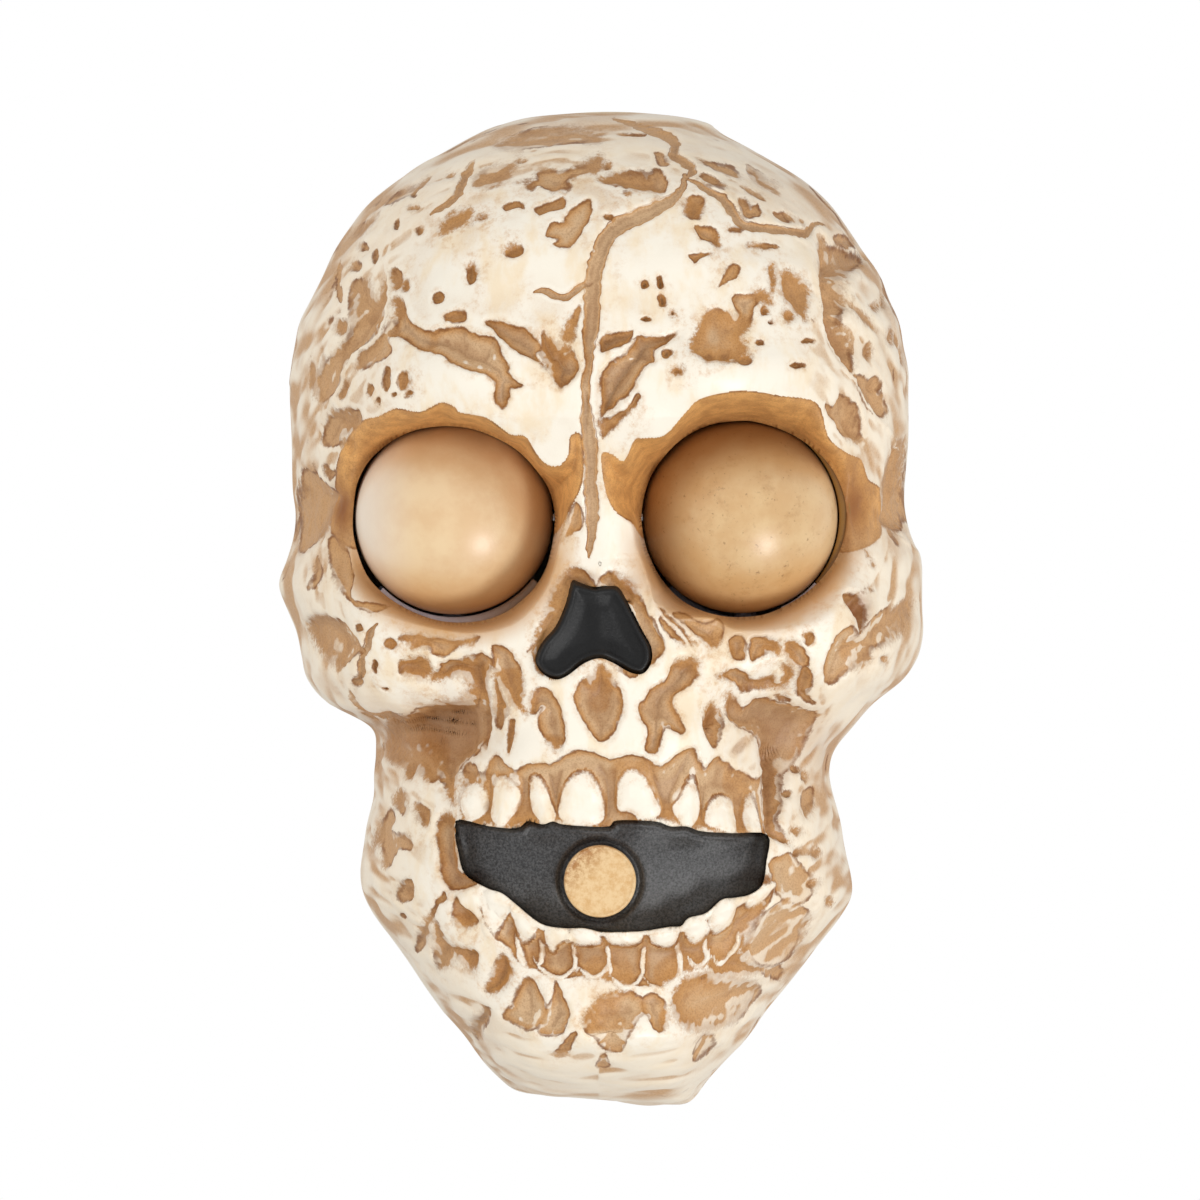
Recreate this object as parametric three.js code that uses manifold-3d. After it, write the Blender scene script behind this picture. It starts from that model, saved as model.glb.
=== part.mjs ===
// A skull doorbell: a moulded bone front, eyelids that turn on one axle, a push button in the mouth
// and a rear cover that hangs on the wall. Sizes are in millimetres.
// X is to the right, Z is up and the wall is the plane Y = 0. The front faces -Y, so a "depth" is the
// distance in front of the wall and Y = -depth.
import * as THREE from "three";
import { mergeVertices } from "three/addons/utils/BufferGeometryUtils.js";
import Module from "manifold-3d";

// Overall sizes
const SKULL_WIDTH = 142.6;
const SKULL_HEIGHT = 220;
const SKULL_DEPTH = 74;
const WALL = 2.2;
const FIT = 0.3;
const RIM_LIFT = 0.6;
const WELD = 0.001;
const BEYOND = 400;

// Half of the front view's outline, from crown to chin: share of half the width, share of half the height
const OUTLINE_SHARES = [
  [0, 1],
  [0.19, 0.99],
  [0.37, 0.962],
  [0.52, 0.918],
  [0.63, 0.866],
  [0.77, 0.77],
  [0.865, 0.673],
  [0.933, 0.578],
  [0.96, 0.48],
  [0.958, 0.36],
  [0.95, 0.24],
  [0.963, 0.145],
  [1, 0.07],
  [0.985, 0],
  [0.955, -0.095],
  [0.93, -0.14],
  [0.85, -0.19],
  [0.75, -0.24],
  [0.712, -0.29],
  [0.715, -0.38],
  [0.745, -0.48],
  [0.762, -0.55],
  [0.755, -0.585],
  [0.72, -0.622],
  [0.61, -0.72],
  [0.5, -0.81],
  [0.4, -0.89],
  [0.31, -0.96],
  [0.25, -0.985],
  [0, -1],
];
// The middle line seen from the side: share of half the height, share of the depth
const PROFILE_SHARES = [
  [1, 1],
  [0.7, 0.985],
  [0.5, 0.96],
  [0.38, 0.925],
  [0.24, 0.83],
  [0.1, 0.79],
  [0, 0.815],
  [-0.3, 0.825],
  [-0.5, 0.79],
  [-0.7, 0.775],
  [-0.85, 0.79],
  [-1, 0.72],
];
// Raised and hollow places: across, up, their two reaches (shares of half the width) and their rise
const RELIEF_SHARES = [
  [0.4, 0.44, 0.3, 0.13, 0.06],
  [0.05, 0.4, 0.16, 0.14, 0.03],
  [0.86, 0.5, 0.13, 0.4, -0.045],
  [0.78, -0.02, 0.2, 0.13, 0.09],
  [0.5, -0.25, 0.15, 0.13, -0.1],
  [0, 0, 0.2, 0.3, 0.035],
  [0.16, -0.32, 0.3, 0.16, 0.03],
  [0, -0.84, 0.3, 0.14, 0.035],
  [0.3, -0.72, 0.2, 0.1, -0.02],
  [0.447, 0.468, 0.3, 0.055, 0.03],
  [0.77, 0.6, 0.105, 0.13, -0.03],
  [0, 0.18, 0.07, 0.14, 0.02],
  [0.82, -0.062, 0.14, 0.09, 0.03],
  [0.55, -0.258, 0.15, 0.09, -0.05],
  [0, -0.062, 0.25, 0.08, 0.032],
  [0, -0.242, 0.34, 0.07, 0.022],
  [0.617, -0.52, 0.13, 0.16, 0.016],
  [0, -0.752, 0.43, 0.05, -0.019],
  [0, -0.872, 0.31, 0.055, 0.03],
];
// Cracks: the places that each passes, across and up, as shares of half the width and half the height
const CRACK = { radius: 1.3, sides: 5, stepsPerPlace: 2 };
const CRACK_SHARES = [
  [
    [0.2, 0.954],
    [0.278, 0.888],
    [0.259, 0.852],
    [0.139, 0.788],
    [0.034, 0.744],
    [0, 0.668],
    [-0.037, 0.592],
    [-0.052, 0.48],
    [-0.056, 0.396],
    [-0.028, 0.278],
    [-0.022, 0.178],
    [-0.022, 0.108],
  ],
  [
    [0.259, 0.852],
    [0.38, 0.82],
    [0.454, 0.766],
    [0.586, 0.762],
    [0.682, 0.774],
  ],
];
// Shallow oval hollows: across, up, half width and half height, as shares
const HOLLOW = { deep: 1.4, round: 10, rise: 6 };
const HOLLOW_SHARES = [
  [-0.447, 0.522, 0.185, 0.032],
  [-0.123, 0.508, 0.086, 0.044],
  [0.13, 0.478, 0.07, 0.08],
  [0.386, 0.548, 0.108, 0.06],
  [-0.83, -0.064, 0.086, 0.048],
  [0.756, -0.092, 0.093, 0.064],
  [-0.006, -0.21, 0.074, 0.07],
  [-0.164, -0.218, 0.056, 0.06],
  [0.2, -0.2, 0.077, 0.07],
  [0.046, -0.812, 0.093, 0.056],
  [-0.247, -0.802, 0.108, 0.056],
  [0.355, -0.782, 0.13, 0.06],
];
const JAW_SHIFT = 1.3;
const JAW_TOP_SHARE = 0;
const JAW_FULL_SHARE = -0.24;
const POLE_SHARE = 0.09;
const ROUNDING_POWER = 3.2;
const CROWN_POWER = 5;
const CHIN_POWER = 14;
const FACE_STEPS = { round: 64, rings: 26 };
const INSIDE_STEPS = { round: 44, rings: 16 };

// Eyes: sockets in the bone, lids, eyeballs and the pale arcs under the lids
const EYE_X = 32;
const EYE_DEPTH = 36;
const EYE_HEIGHT_SHARE = 0.1836;
const EYE_Z = (EYE_HEIGHT_SHARE * SKULL_HEIGHT) / 2;
const LID_RADIUS = 21.7;
const LID_WALL = 1.5;
const LID_GAP = 0.6;
const LID_LOW_DEG = -78;
const LID_HIGH_DEG = 100;
const SOCKET_RADIUS = 22.6;
const SOCKET_DROP = 0.4;
const SOCKET_FLARE = 3;
const SOCKET_RISE = 24;
const SOCKET_OUTWARD = 4.5;
const SOCKET_DOWNWARD = 4;
const BROW_CLEARANCE = 0.7;
const EYEBALL_RADIUS = LID_RADIUS - LID_WALL - LID_GAP;
const IRIS_RADIUS = 8;
const IRIS_DEEP = 1.6;
const SPHERE_ROUND = 20;
const SPHERE_RISE = 12;
const SECTOR_STEP_DEG = 15;
const ARC_INNER = 22.1;
const ARC_OUTER = 23.9;
const ARC_SPAN_DEG = 47;
const ARC_THICK = 2.6;
const ARC_SET_BACK = 2.2;
const ARC_FRONT = EYE_DEPTH - WALL - ARC_SET_BACK;

// Lid drive: an axle, three gears and a motor, all along X
const AXLE_RADIUS = 1.5;
const RUNNING_GAP = 0.2;
const LID_BOSS_RADIUS = 4;
const LID_BOSS_INNER = 8.3;
const LID_BOSS_WIDE = 3;
const BEARING_INNER = 6.2;
const BEARING_THICK = 1.6;
const BEARING_AHEAD = 7;
const BEARING_FRONT = EYE_DEPTH + BEARING_AHEAD;
const LID_GEAR_PITCH_RADIUS = 10;
const LID_TEETH = 20;
const GEAR_MODULE = (2 * LID_GEAR_PITCH_RADIUS) / LID_TEETH;
const IDLER_SMALL_TEETH = 10;
const IDLER_LARGE_TEETH = 25;
const PINION_TEETH = 10;
const GEAR_WIDE = 3.6;
const GEAR_SIDE_GAP = 0.8;
const GEAR_STEP_GAP = 1;
const GEAR_RIGHT = [BEARING_INNER - GEAR_SIDE_GAP - GEAR_WIDE, BEARING_INNER - GEAR_SIDE_GAP];
const GEAR_LEFT = GEAR_RIGHT.map((x) => x - GEAR_WIDE - GEAR_STEP_GAP);
const GEAR_PLAY = 0.34;
const TOOTH_TOP_SHARE = 0.8;
const TOOTH_ROOT_SHARE = 1.3;
const ROOT_WIDE_SHARE = 1.3;
const TIP_WIDE_SHARE = 0.5;
const IDLER_HUB = 3;
const IDLER_Z = EYE_Z + ((LID_TEETH + IDLER_SMALL_TEETH) * GEAR_MODULE) / 2;
const MOTOR_Z = IDLER_Z + ((IDLER_LARGE_TEETH + PINION_TEETH) * GEAR_MODULE) / 2;
const PIN_RADIUS = 1;
const MOTOR = { long: 25, tall: 15, deep: 20, boss: 3, bossLong: 1.2, shaft: 1 };

// Eye chassis: a back plate on posts, a shelf with two eye posts, bearing plates and a motor cradle
const CHASSIS_BACK = 11;
const CHASSIS_FRONT = 13;
const CHASSIS_HALF_WIDE = 40;
const CHASSIS_UNDER_EYE = 32.2;
const CHASSIS_TALL = 15;
const CHASSIS_LOW = EYE_Z - CHASSIS_UNDER_EYE;
const CHASSIS_HIGH = CHASSIS_LOW + CHASSIS_TALL;
const SPINE_HALF_WIDE = 9;
const SPINE_OVER_MOTOR = 9.3;
const SPINE_HIGH = MOTOR_Z + SPINE_OVER_MOTOR;
const SHELF_THICK = 2;
const SHELF_SHORT = 1;
const SHELF_FRONT = EYE_DEPTH - SHELF_SHORT;
const SHELF_HALF_WIDE = 36;
const EYE_POST_BEHIND = 5;
const EYE_POST_DEPTH = EYE_DEPTH - EYE_POST_BEHIND;
const EYE_POST_RADIUS = 2.6;
const EYE_POST_SEAT = 4;
const CRADLE = { thick: 2, halfTall: 5.5, reach: 22.2 };

// Mouth, nose and button
const MOUTH = { radius: 75, wall: 2, recess: 5.6 };
const MOUTH_SKIRT = { left: 6.3, right: 4.8, below: 6.2, above: 4.8 };
const MOUTH_MARGIN_SHARE = 1.05;
// The mouth opening and the nose, as shares of half the width and half the height
const MOUTH_SHARES = [
  [-0.445, -0.422],
  [-0.22, -0.432],
  [-0.12, -0.428],
  [0.06, -0.43],
  [0.1, -0.416],
  [0.2, -0.428],
  [0.34, -0.444],
  [0.515, -0.45],
  [0.512, -0.504],
  [0.46, -0.57],
  [0.373, -0.58],
  [0.327, -0.606],
  [0.25, -0.632],
  [0.129, -0.642],
  [0.013, -0.644],
  [-0.114, -0.636],
  [-0.185, -0.626],
  [-0.262, -0.586],
  [-0.35, -0.556],
  [-0.414, -0.53],
  [-0.435, -0.488],
];
const NOSE_SHARES = [
  [-0.087, 0.054],
  [-0.018, 0.044],
  [0.052, 0.044],
  [0.074, 0.026],
  [0.129, -0.04],
  [0.157, -0.076],
  [0.157, -0.112],
  [0.126, -0.132],
  [0.093, -0.126],
  [0.036, -0.106],
  [-0.003, -0.098],
  [-0.049, -0.108],
  [-0.098, -0.132],
  [-0.136, -0.14],
  [-0.185, -0.122],
  [-0.2, -0.096],
  [-0.175, -0.066],
  [-0.136, -0.034],
  [-0.105, 0.012],
];
const NOSE = { proud: 0.9, bevel: 1.1, back: 2.5, flange: 1.4, flangeShare: 1.2, holeShare: 1.035 };
const NOSE_MID_SHARE = -0.045;
// Teeth: left, right, upper and lower edges, as shares of half the width and half the height
const UPPER_TEETH_SHARES = [
  [-0.43, -0.36, -0.35, -0.428],
  [-0.35, -0.26, -0.33, -0.434],
  [-0.235, -0.14, -0.34, -0.434],
  [-0.128, 0.012, -0.325, -0.432],
  [0.05, 0.185, -0.325, -0.418],
  [0.222, 0.317, -0.34, -0.434],
  [0.327, 0.425, -0.35, -0.444],
  [0.44, 0.5, -0.355, -0.444],
];
const LOWER_TEETH_SHARES = [
  [-0.445, -0.373, -0.555, -0.61],
  [-0.362, -0.29, -0.57, -0.645],
  [-0.276, -0.185, -0.6, -0.655],
  [-0.174, -0.092, -0.634, -0.69],
  [-0.084, 0.008, -0.644, -0.692],
  [0.018, 0.13, -0.648, -0.692],
  [0.144, 0.235, -0.64, -0.686],
  [0.247, 0.333, -0.62, -0.675],
  [0.344, 0.418, -0.585, -0.645],
  [0.43, 0.53, -0.56, -0.62],
];
const TOOTH = { rise: 1.4, sunk: 1.2, bevel: 0.7 };
const BUTTON_X = 0;
const BUTTON_HEIGHT_SHARE = -0.5418;
const BUTTON_Z = (BUTTON_HEIGHT_SHARE * SKULL_HEIGHT) / 2;
const BUTTON = { radius: 7.9, gap: 0.5, proud: 3.5, crown: 0.6, travel: 2.2 };
const BUTTON_FLANGE = { radius: 9.8, thick: 1.5 };
const STEM = { radius: 2.2, long: 6.05 };
const BUTTON_BOARD = { behind: 18.5, thick: 1.6, halfWide: 16.5, halfTall: 6.5 };
const BUTTON_BOSS_X = 13.5;
const SWITCH = { side: 6, high: 3.6, plunger: 1.7, plungerHigh: 1.4 };
const SPRING = { radius: 6, wire: 0.5, turns: 5, stepsPerTurn: 8, sides: 5, lift: 0.2 };

// Rear cover with its battery bay, grille, keyhole and posts
const COVER_THICK = 3;
const COVER_GAP = 0.4;
const BAY_HEIGHT_SHARE = -0.5136;
const BAY_Z = (BAY_HEIGHT_SHARE * SKULL_HEIGHT) / 2;
const DOOR = { thick: 1.8, inset: 0.3, lift: 0.2, tabHalf: 5, tabTall: 7, screwUp: 3.5 };
const DOOR_SCREW = { head: 2.4, headHigh: 1, shank: 1.1, long: 7, boss: 3, bossFront: 9 };
const CELL = { radius: 7.25, long: 49.2, nub: 2.75, nubLong: 1.3, pitch: 15.3, gap: 0.35, sideGap: 0.45 };
const CONTACT = { thick: 0.5, halfTall: 5, halfDeep: 5.5, springLong: 4.5, springBase: 3.6, springTip: 2.4 };
const CELL_DEPTH = DOOR.lift + DOOR.thick + CELL.gap + CELL.radius;
const BAY_HALF_TALL = CELL.pitch + CELL.radius + CELL.sideGap;
const BAY = {
  halfWide: (CELL.long + CELL.nubLong + CONTACT.springLong) / 2 + 2 * FIT + CONTACT.thick,
  low: BAY_Z - BAY_HALF_TALL,
  high: BAY_Z + BAY_HALF_TALL,
  ceiling: CELL_DEPTH + CELL.radius + CELL.gap,
  ledge: 1.2,
  wall: 2.4,
  roof: 1.8,
};
const SWITCH_OVER_BAY = 12;
const SWITCH_Z = BAY.high + SWITCH_OVER_BAY;
const SPEAKER_SHARES = [-0.4208, 0.5636];
const SPEAKER = { rim: 20, mouth: 17, throat: 10, magnet: 13, earHalf: 3, earReach: 26, screwReach: 23 };
const SPEAKER_DEPTHS = { rimThick: 2, bowl: 4.7, bowlWall: 1, magnet: 9 };
const CONE = { dish: 8, edge: 16.4, edgeWide: 0.8, deep: 2.9, thick: 1.2 };
const GRILLE = { rings: [6, 12], perRing: 6, hole: 1.5 };
const BOARD_EDGE_SHARES = { right: 0.6873, low: 0.4091, high: 0.7182 };
const BOARD_LEFT = 6;
const BOARD_BACK = 8;
const BOARD_THICK = 1.6;
const BOARD_RIGHT = (BOARD_EDGE_SHARES.right * SKULL_WIDTH) / 2;
const BOARD_LOW = (BOARD_EDGE_SHARES.low * SKULL_HEIGHT) / 2;
const BOARD_HIGH = (BOARD_EDGE_SHARES.high * SKULL_HEIGHT) / 2;
const BOARD_SCREW_INSET = 7;
const CHIP = { fromRight: 21, fromTop: 15, side: 11, high: 1.5 };
const CAPACITOR = { fromRight: 9, fromBottom: 11, radius: 3.2, high: 8 };
const KEYHOLE_HEIGHT_SHARE = 0.7273;
const KEYHOLE = { headRadius: 4.5, slotHalf: 2.5, slotLong: 10 };
const SLIDE = { halfWide: 6, halfTall: 3, deep: 6, knobHalf: 1.4, travel: 4, knobTall: 1.6, knobSunk: 0.7 };
const CASE_SCREW_SHARES = [
  [-0.785, 0.455],
  [0.785, 0.455],
  [-0.61, -0.527],
  [0.645, -0.527],
];
const CHASSIS_SCREW_X = 30;
const CHASSIS_SCREW_UP = 7;
const SPINE_SCREW_DOWN = 5;
const SPEAKER_PILOT_FLOOR = 1;

// Screws and leads
const SCREW = { head: 2.4, headHigh: 1.5, shank: 1.1, seatGap: 0.15 };
const CASE_SCREW_LONG = 12;
const CASE_SCREW_SUNK = 1.9;
const CHASSIS_SCREW_LONG = 7;
const BOARD_SCREW_LONG = 4.5;
const SPEAKER_SCREW_LONG = 4.2;
const BUTTON_SCREW_LONG = 6;
const HEAD_ROOM = 0.4;
const SCREW_BOSS_RADIUS = 3.4;
const LEAD_RADIUS = 0.8;
const LEAD_SIDES = 5;
const LEAD_STEPS = 16;
const LEAD_END_GAP = 0.3;
// Leads pass these places, across, depth and up, first from the end they leave and then from the board
const BATTERY_LEAD = {
  out: [[0, 0, 0], [0, 0, 7.8], [-3.6, -5, 17.8]],
  in: [[2, -2.3, -32.7], [0, -1.8, -6.7], [0, 0, 0]],
};
const SPEAKER_LEAD = {
  out: [[0, 0, 0], [4.9, -1.4, 4]],
  in: [[-5.7, -0.4, 0], [0, 0, 0]],
};
const MOTOR_LEAD = {
  out: [[0, 0, 0], [-2.8, -6, 3], [2.2, -17, 12]],
  in: [[-19.7, 7.7, -4], [-5.7, 3.2, 0], [0, 0, 0]],
};
const BUTTON_LEAD = {
  out: [[0, 0, 0], [2, -4.2, 8.8], [5, -11.2, 24.8]],
  in: [[5.5, -0.8, -62.7], [4, -2.3, -40.7], [1, -1.8, -6.7], [0, 0, 0]],
};
const BATTERY_LEAD_HOLE = { in: 1, ahead: 2.4, down: 2.3 };
const SPEAKER_LEAD_OUT = { reach: 14.1, depth: 10.6 };
const MOTOR_LEAD_OUT = { clear: 1.1, down: 1.7 };
const BUTTON_LEAD_OUT = { across: 10, up: 6.8 };
const BOARD_LEAD_SPOTS = { battery: 12, button: 4, speaker: 10.5, motor: 6 };
const ROD_SIDES = 12;
const WIDE_SIDES = 20;
const SIMPLER = 0.02;

const [SPEAKER_X, SPEAKER_Z] = [
  (SPEAKER_SHARES[0] * SKULL_WIDTH) / 2,
  (SPEAKER_SHARES[1] * SKULL_HEIGHT) / 2,
];
const CASE_SCREWS = CASE_SCREW_SHARES.map(([across, up]) => [
  (across * SKULL_WIDTH) / 2,
  (up * SKULL_HEIGHT) / 2,
]);
const CHASSIS_SCREWS = [
  [-CHASSIS_SCREW_X, CHASSIS_LOW + CHASSIS_SCREW_UP],
  [CHASSIS_SCREW_X, CHASSIS_LOW + CHASSIS_SCREW_UP],
  [0, SPINE_HIGH - SPINE_SCREW_DOWN],
];
const BOARD_SCREWS = [
  [BOARD_LEFT + BOARD_SCREW_INSET, BOARD_LOW + BOARD_SCREW_INSET],
  [BOARD_RIGHT - BOARD_SCREW_INSET, BOARD_HIGH - BOARD_SCREW_INSET],
];

const wasm = await Module();
wasm.setup();

// Solids from three.js geometry and back

function solidOf(geometry) {
  const bare = geometry.clone();
  bare.deleteAttribute("normal");
  bare.deleteAttribute("uv");
  const merged = mergeVertices(bare, WELD);
  return new wasm.Manifold(
    new wasm.Mesh({
      numProp: 3,
      vertProperties: merged.attributes.position.array,
      triVerts: new Uint32Array(merged.index.array),
    }),
  );
}

function geometryOf(solid) {
  const made = solid.asOriginal().simplify(SIMPLER).getMesh();
  const geometry = new THREE.BufferGeometry();
  geometry.setAttribute("position", new THREE.BufferAttribute(made.vertProperties, made.numProp));
  geometry.setIndex(new THREE.BufferAttribute(made.triVerts, 1));
  return geometry;
}

function joined(solids) {
  return solids.reduce((all, next) => all.add(next));
}

function cut(solid, cutters) {
  return cutters.reduce((rest, next) => rest.subtract(next), solid);
}

// A block between two places across, two depths and two heights
function block([left, right], [back, front], [low, high]) {
  const geometry = new THREE.BoxGeometry(right - left, front - back, high - low);
  geometry.translate((left + right) / 2, -(back + front) / 2, (low + high) / 2);
  return solidOf(geometry);
}

// A round rod or cone along one axis: "x", "depth" or "z", from one place on it to another
function rod(axis, radius, [from, to], across, up, sides = ROD_SIDES, endRadius = radius) {
  const geometry = new THREE.CylinderGeometry(endRadius, radius, to - from, sides);
  const middle = (from + to) / 2;
  if (axis === "x") {
    geometry.rotateZ(-Math.PI / 2);
    geometry.translate(middle, -across, up);
  } else if (axis === "z") {
    geometry.rotateX(Math.PI / 2);
    geometry.translate(across, -up, middle);
  } else {
    geometry.rotateX(Math.PI);
    geometry.translate(across, -middle, up);
  }
  return solidOf(geometry);
}

function ball(radius, x) {
  const geometry = new THREE.SphereGeometry(radius, SPHERE_ROUND, SPHERE_RISE);
  geometry.rotateZ(Math.PI / 2);
  geometry.translate(x, -EYE_DEPTH, EYE_Z);
  return solidOf(geometry);
}

function shapeOf(points) {
  return new THREE.Shape(points.map(([a, b]) => new THREE.Vector2(a, b)));
}

// A front view outline, in millimetres, carried from one depth to another
function frontPrism(points, [back, front], bevel = 0) {
  const geometry = new THREE.ExtrudeGeometry(shapeOf(points), {
    depth: front - back - 2 * bevel,
    bevelEnabled: bevel > 0,
    bevelThickness: bevel,
    bevelSize: bevel,
    bevelOffset: -bevel,
    bevelSegments: 1,
  });
  geometry.rotateX(Math.PI / 2);
  geometry.translate(0, -back - bevel, 0);
  return solidOf(geometry);
}

// A side view outline of forward and upward distances, carried across from left to right
function sidePrism(points, [left, right]) {
  const geometry = new THREE.ExtrudeGeometry(shapeOf(points), {
    depth: right - left,
    bevelEnabled: false,
  });
  const turned = new THREE.Matrix4().makeBasis(
    new THREE.Vector3(0, -1, 0),
    new THREE.Vector3(0, 0, 1),
    new THREE.Vector3(-1, 0, 0),
  );
  geometry.applyMatrix4(turned);
  geometry.translate(right, 0, 0);
  return solidOf(geometry);
}

// The skull's surface

function stepBetween(edge0, edge1, value) {
  const share = THREE.MathUtils.clamp((value - edge0) / (edge1 - edge0), 0, 1);
  return share * share * (3 - 2 * share);
}

function along(table, key, keyColumn, valueColumn) {
  const next = table.findIndex((row) => row[keyColumn] <= key);
  if (next < 0) return table[table.length - 1][valueColumn];
  if (next === 0) return table[0][valueColumn];
  const [above, below] = [table[next - 1], table[next]];
  const share = (above[keyColumn] - key) / (above[keyColumn] - below[keyColumn]);
  return THREE.MathUtils.lerp(above[valueColumn], below[valueColumn], share);
}

function jawShift(zShare) {
  return JAW_SHIFT * stepBetween(JAW_TOP_SHARE, JAW_FULL_SHARE, zShare);
}

// Depth of the bone's outer face at a place in the front view, before the sockets are cut
function boneDepth(x, z) {
  const zShare = THREE.MathUtils.clamp(z / (SKULL_HEIGHT / 2), -1, 1);
  const centred = x - jawShift(zShare);
  const halfWide = (SKULL_WIDTH / 2) * along(OUTLINE_SHARES, zShare, 1, 0);
  const sideShare = Math.min(Math.abs(centred) / Math.max(halfWide, WELD), 1);
  const endPower = zShare > 0 ? CROWN_POWER : CHIN_POWER;
  const endFall = Math.sqrt(Math.max(1 - Math.abs(zShare) ** endPower, 0));
  const sideFall = Math.sqrt(1 - sideShare ** ROUNDING_POWER);
  let middle = along(PROFILE_SHARES, zShare, 0, 1);
  for (const [across, up, wide, tall, rise] of RELIEF_SHARES) {
    const wideShare = (Math.abs(centred) / (SKULL_WIDTH / 2) - across) / wide;
    const tallShare = (zShare - up) / tall;
    middle += rise * Math.exp(-(wideShare ** 2) - tallShare ** 2);
  }
  return SKULL_DEPTH * middle * endFall * sideFall;
}

// The outline's corners as angles and reaches about the pole of the ring grid
function outlinePolar() {
  const half = OUTLINE_SHARES.map(([across, up]) => [across, up]);
  const mirrored = half.slice(1, -1).reverse().map(([across, up]) => [-across, up]);
  return [...half, ...mirrored].map(([across, up]) => {
    const x = (across * SKULL_WIDTH) / 2 + jawShift(up);
    const z = ((up - POLE_SHARE) * SKULL_HEIGHT) / 2;
    return { angle: Math.atan2(x, z), reach: Math.hypot(x, z) };
  });
}

function reachAt(corners, angle) {
  const turn = 2 * Math.PI;
  const sorted = corners.map((c) => ({ ...c, past: (((c.angle - angle) % turn) + turn) % turn }));
  const after = sorted.reduce((best, c) => (c.past < best.past ? c : best));
  const before = sorted.reduce((best, c) => (c.past > best.past ? c : best));
  const gap = after.past + turn - before.past;
  return THREE.MathUtils.lerp(before.reach, after.reach, (turn - before.past) / gap);
}

// The closed body inside the bone's outer face, drawn in by a distance at right angles to that face
function skullBody(inset, { round, rings }) {
  const corners = outlinePolar();
  const poleZ = (POLE_SHARE * SKULL_HEIGHT) / 2;
  const places = [[0, poleZ]];
  for (let ring = 1; ring <= rings; ring++) {
    const share = Math.sin(((ring / rings) * Math.PI) / 2);
    for (let step = 0; step < round; step++) {
      const angle = (-2 * Math.PI * step) / round;
      const reach = share * reachAt(corners, angle);
      places.push([reach * Math.sin(angle), poleZ + reach * Math.cos(angle)]);
    }
  }
  const positions = places.map(([x, z], i) => {
    const onRim = i > (rings - 1) * round;
    return [x, onRim ? 0 : -boneDepth(x, z), z];
  });
  const faces = [];
  const at = (ring, step) => 1 + (ring - 1) * round + (step % round);
  for (let step = 0; step < round; step++) {
    faces.push(0, at(1, step), at(1, step + 1));
    for (let ring = 1; ring < rings; ring++) {
      faces.push(at(ring, step), at(ring + 1, step), at(ring + 1, step + 1));
      faces.push(at(ring, step), at(ring + 1, step + 1), at(ring, step + 1));
    }
  }
  const face = new THREE.BufferGeometry();
  face.setAttribute("position", new THREE.Float32BufferAttribute(positions.flat(), 3));
  face.setIndex(faces);
  face.computeVertexNormals();
  const normals = face.getAttribute("normal");
  const closed = positions.map((place, i) => {
    const normal = new THREE.Vector3().fromBufferAttribute(normals, i);
    if (i > (rings - 1) * round) normal.setY(0).normalize();
    return new THREE.Vector3(...place).addScaledVector(normal, -inset);
  });
  const back = closed.length;
  closed.push(new THREE.Vector3(0, WALL, poleZ));
  for (let step = 0; step < round; step++) {
    closed.push(closed[at(rings, step)].clone().setY(WALL));
  }
  const behind = (step) => back + 1 + (step % round);
  for (let step = 0; step < round; step++) {
    faces.push(at(rings, step), behind(step), behind(step + 1));
    faces.push(at(rings, step), behind(step + 1), at(rings, step + 1));
    faces.push(back, behind(step + 1), behind(step));
  }
  const geometry = new THREE.BufferGeometry();
  const flat = closed.flatMap((v) => v.toArray());
  geometry.setAttribute("position", new THREE.Float32BufferAttribute(flat, 3));
  geometry.setIndex(faces);
  return solidOf(geometry);
}

function inMillimetres(shares, margin = 1) {
  const middle = shares
    .reduce(([a, b], [c, d]) => [a + c, b + d], [0, 0])
    .map((sum) => sum / shares.length);
  return shares
    .map(([across, up]) => [
      ((middle[0] + margin * (across - middle[0])) * SKULL_WIDTH) / 2,
      ((middle[1] + margin * (up - middle[1])) * SKULL_HEIGHT) / 2,
    ]);
}

const outerBody = skullBody(0, FACE_STEPS);
const innerBody = skullBody(WALL, INSIDE_STEPS);
const fittedBody = skullBody(WALL + FIT, INSIDE_STEPS);

// Bone front

// A socket's bowl: it widens forwards, and leans outwards and down so that the brow overhangs
function socketBowl(side, extra) {
  const radius = SOCKET_RADIUS + extra;
  const geometry = new THREE.CylinderGeometry(radius, radius + SOCKET_FLARE, SOCKET_RISE, WIDE_SIDES);
  geometry.translate(0, -SOCKET_RISE / 2, 0);
  const lean = new THREE.Matrix4().identity();
  lean.elements[4] = (-side * SOCKET_OUTWARD) / SOCKET_RISE;
  lean.elements[6] = SOCKET_DOWNWARD / SOCKET_RISE;
  geometry.applyMatrix4(lean);
  geometry.translate(side * EYE_X, -EYE_DEPTH, EYE_Z - SOCKET_DROP);
  const ahead = rod(
    "depth",
    radius + SOCKET_FLARE,
    [EYE_DEPTH + SOCKET_RISE - WELD, EYE_DEPTH + SKULL_DEPTH],
    side * (EYE_X + SOCKET_OUTWARD),
    EYE_Z - SOCKET_DROP - SOCKET_DOWNWARD,
    WIDE_SIDES,
  );
  return solidOf(geometry).add(ahead);
}

function socketTube(side, extra, depths) {
  return rod("depth", SOCKET_RADIUS + extra, depths, side * EYE_X, EYE_Z - SOCKET_DROP, WIDE_SIDES);
}

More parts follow.
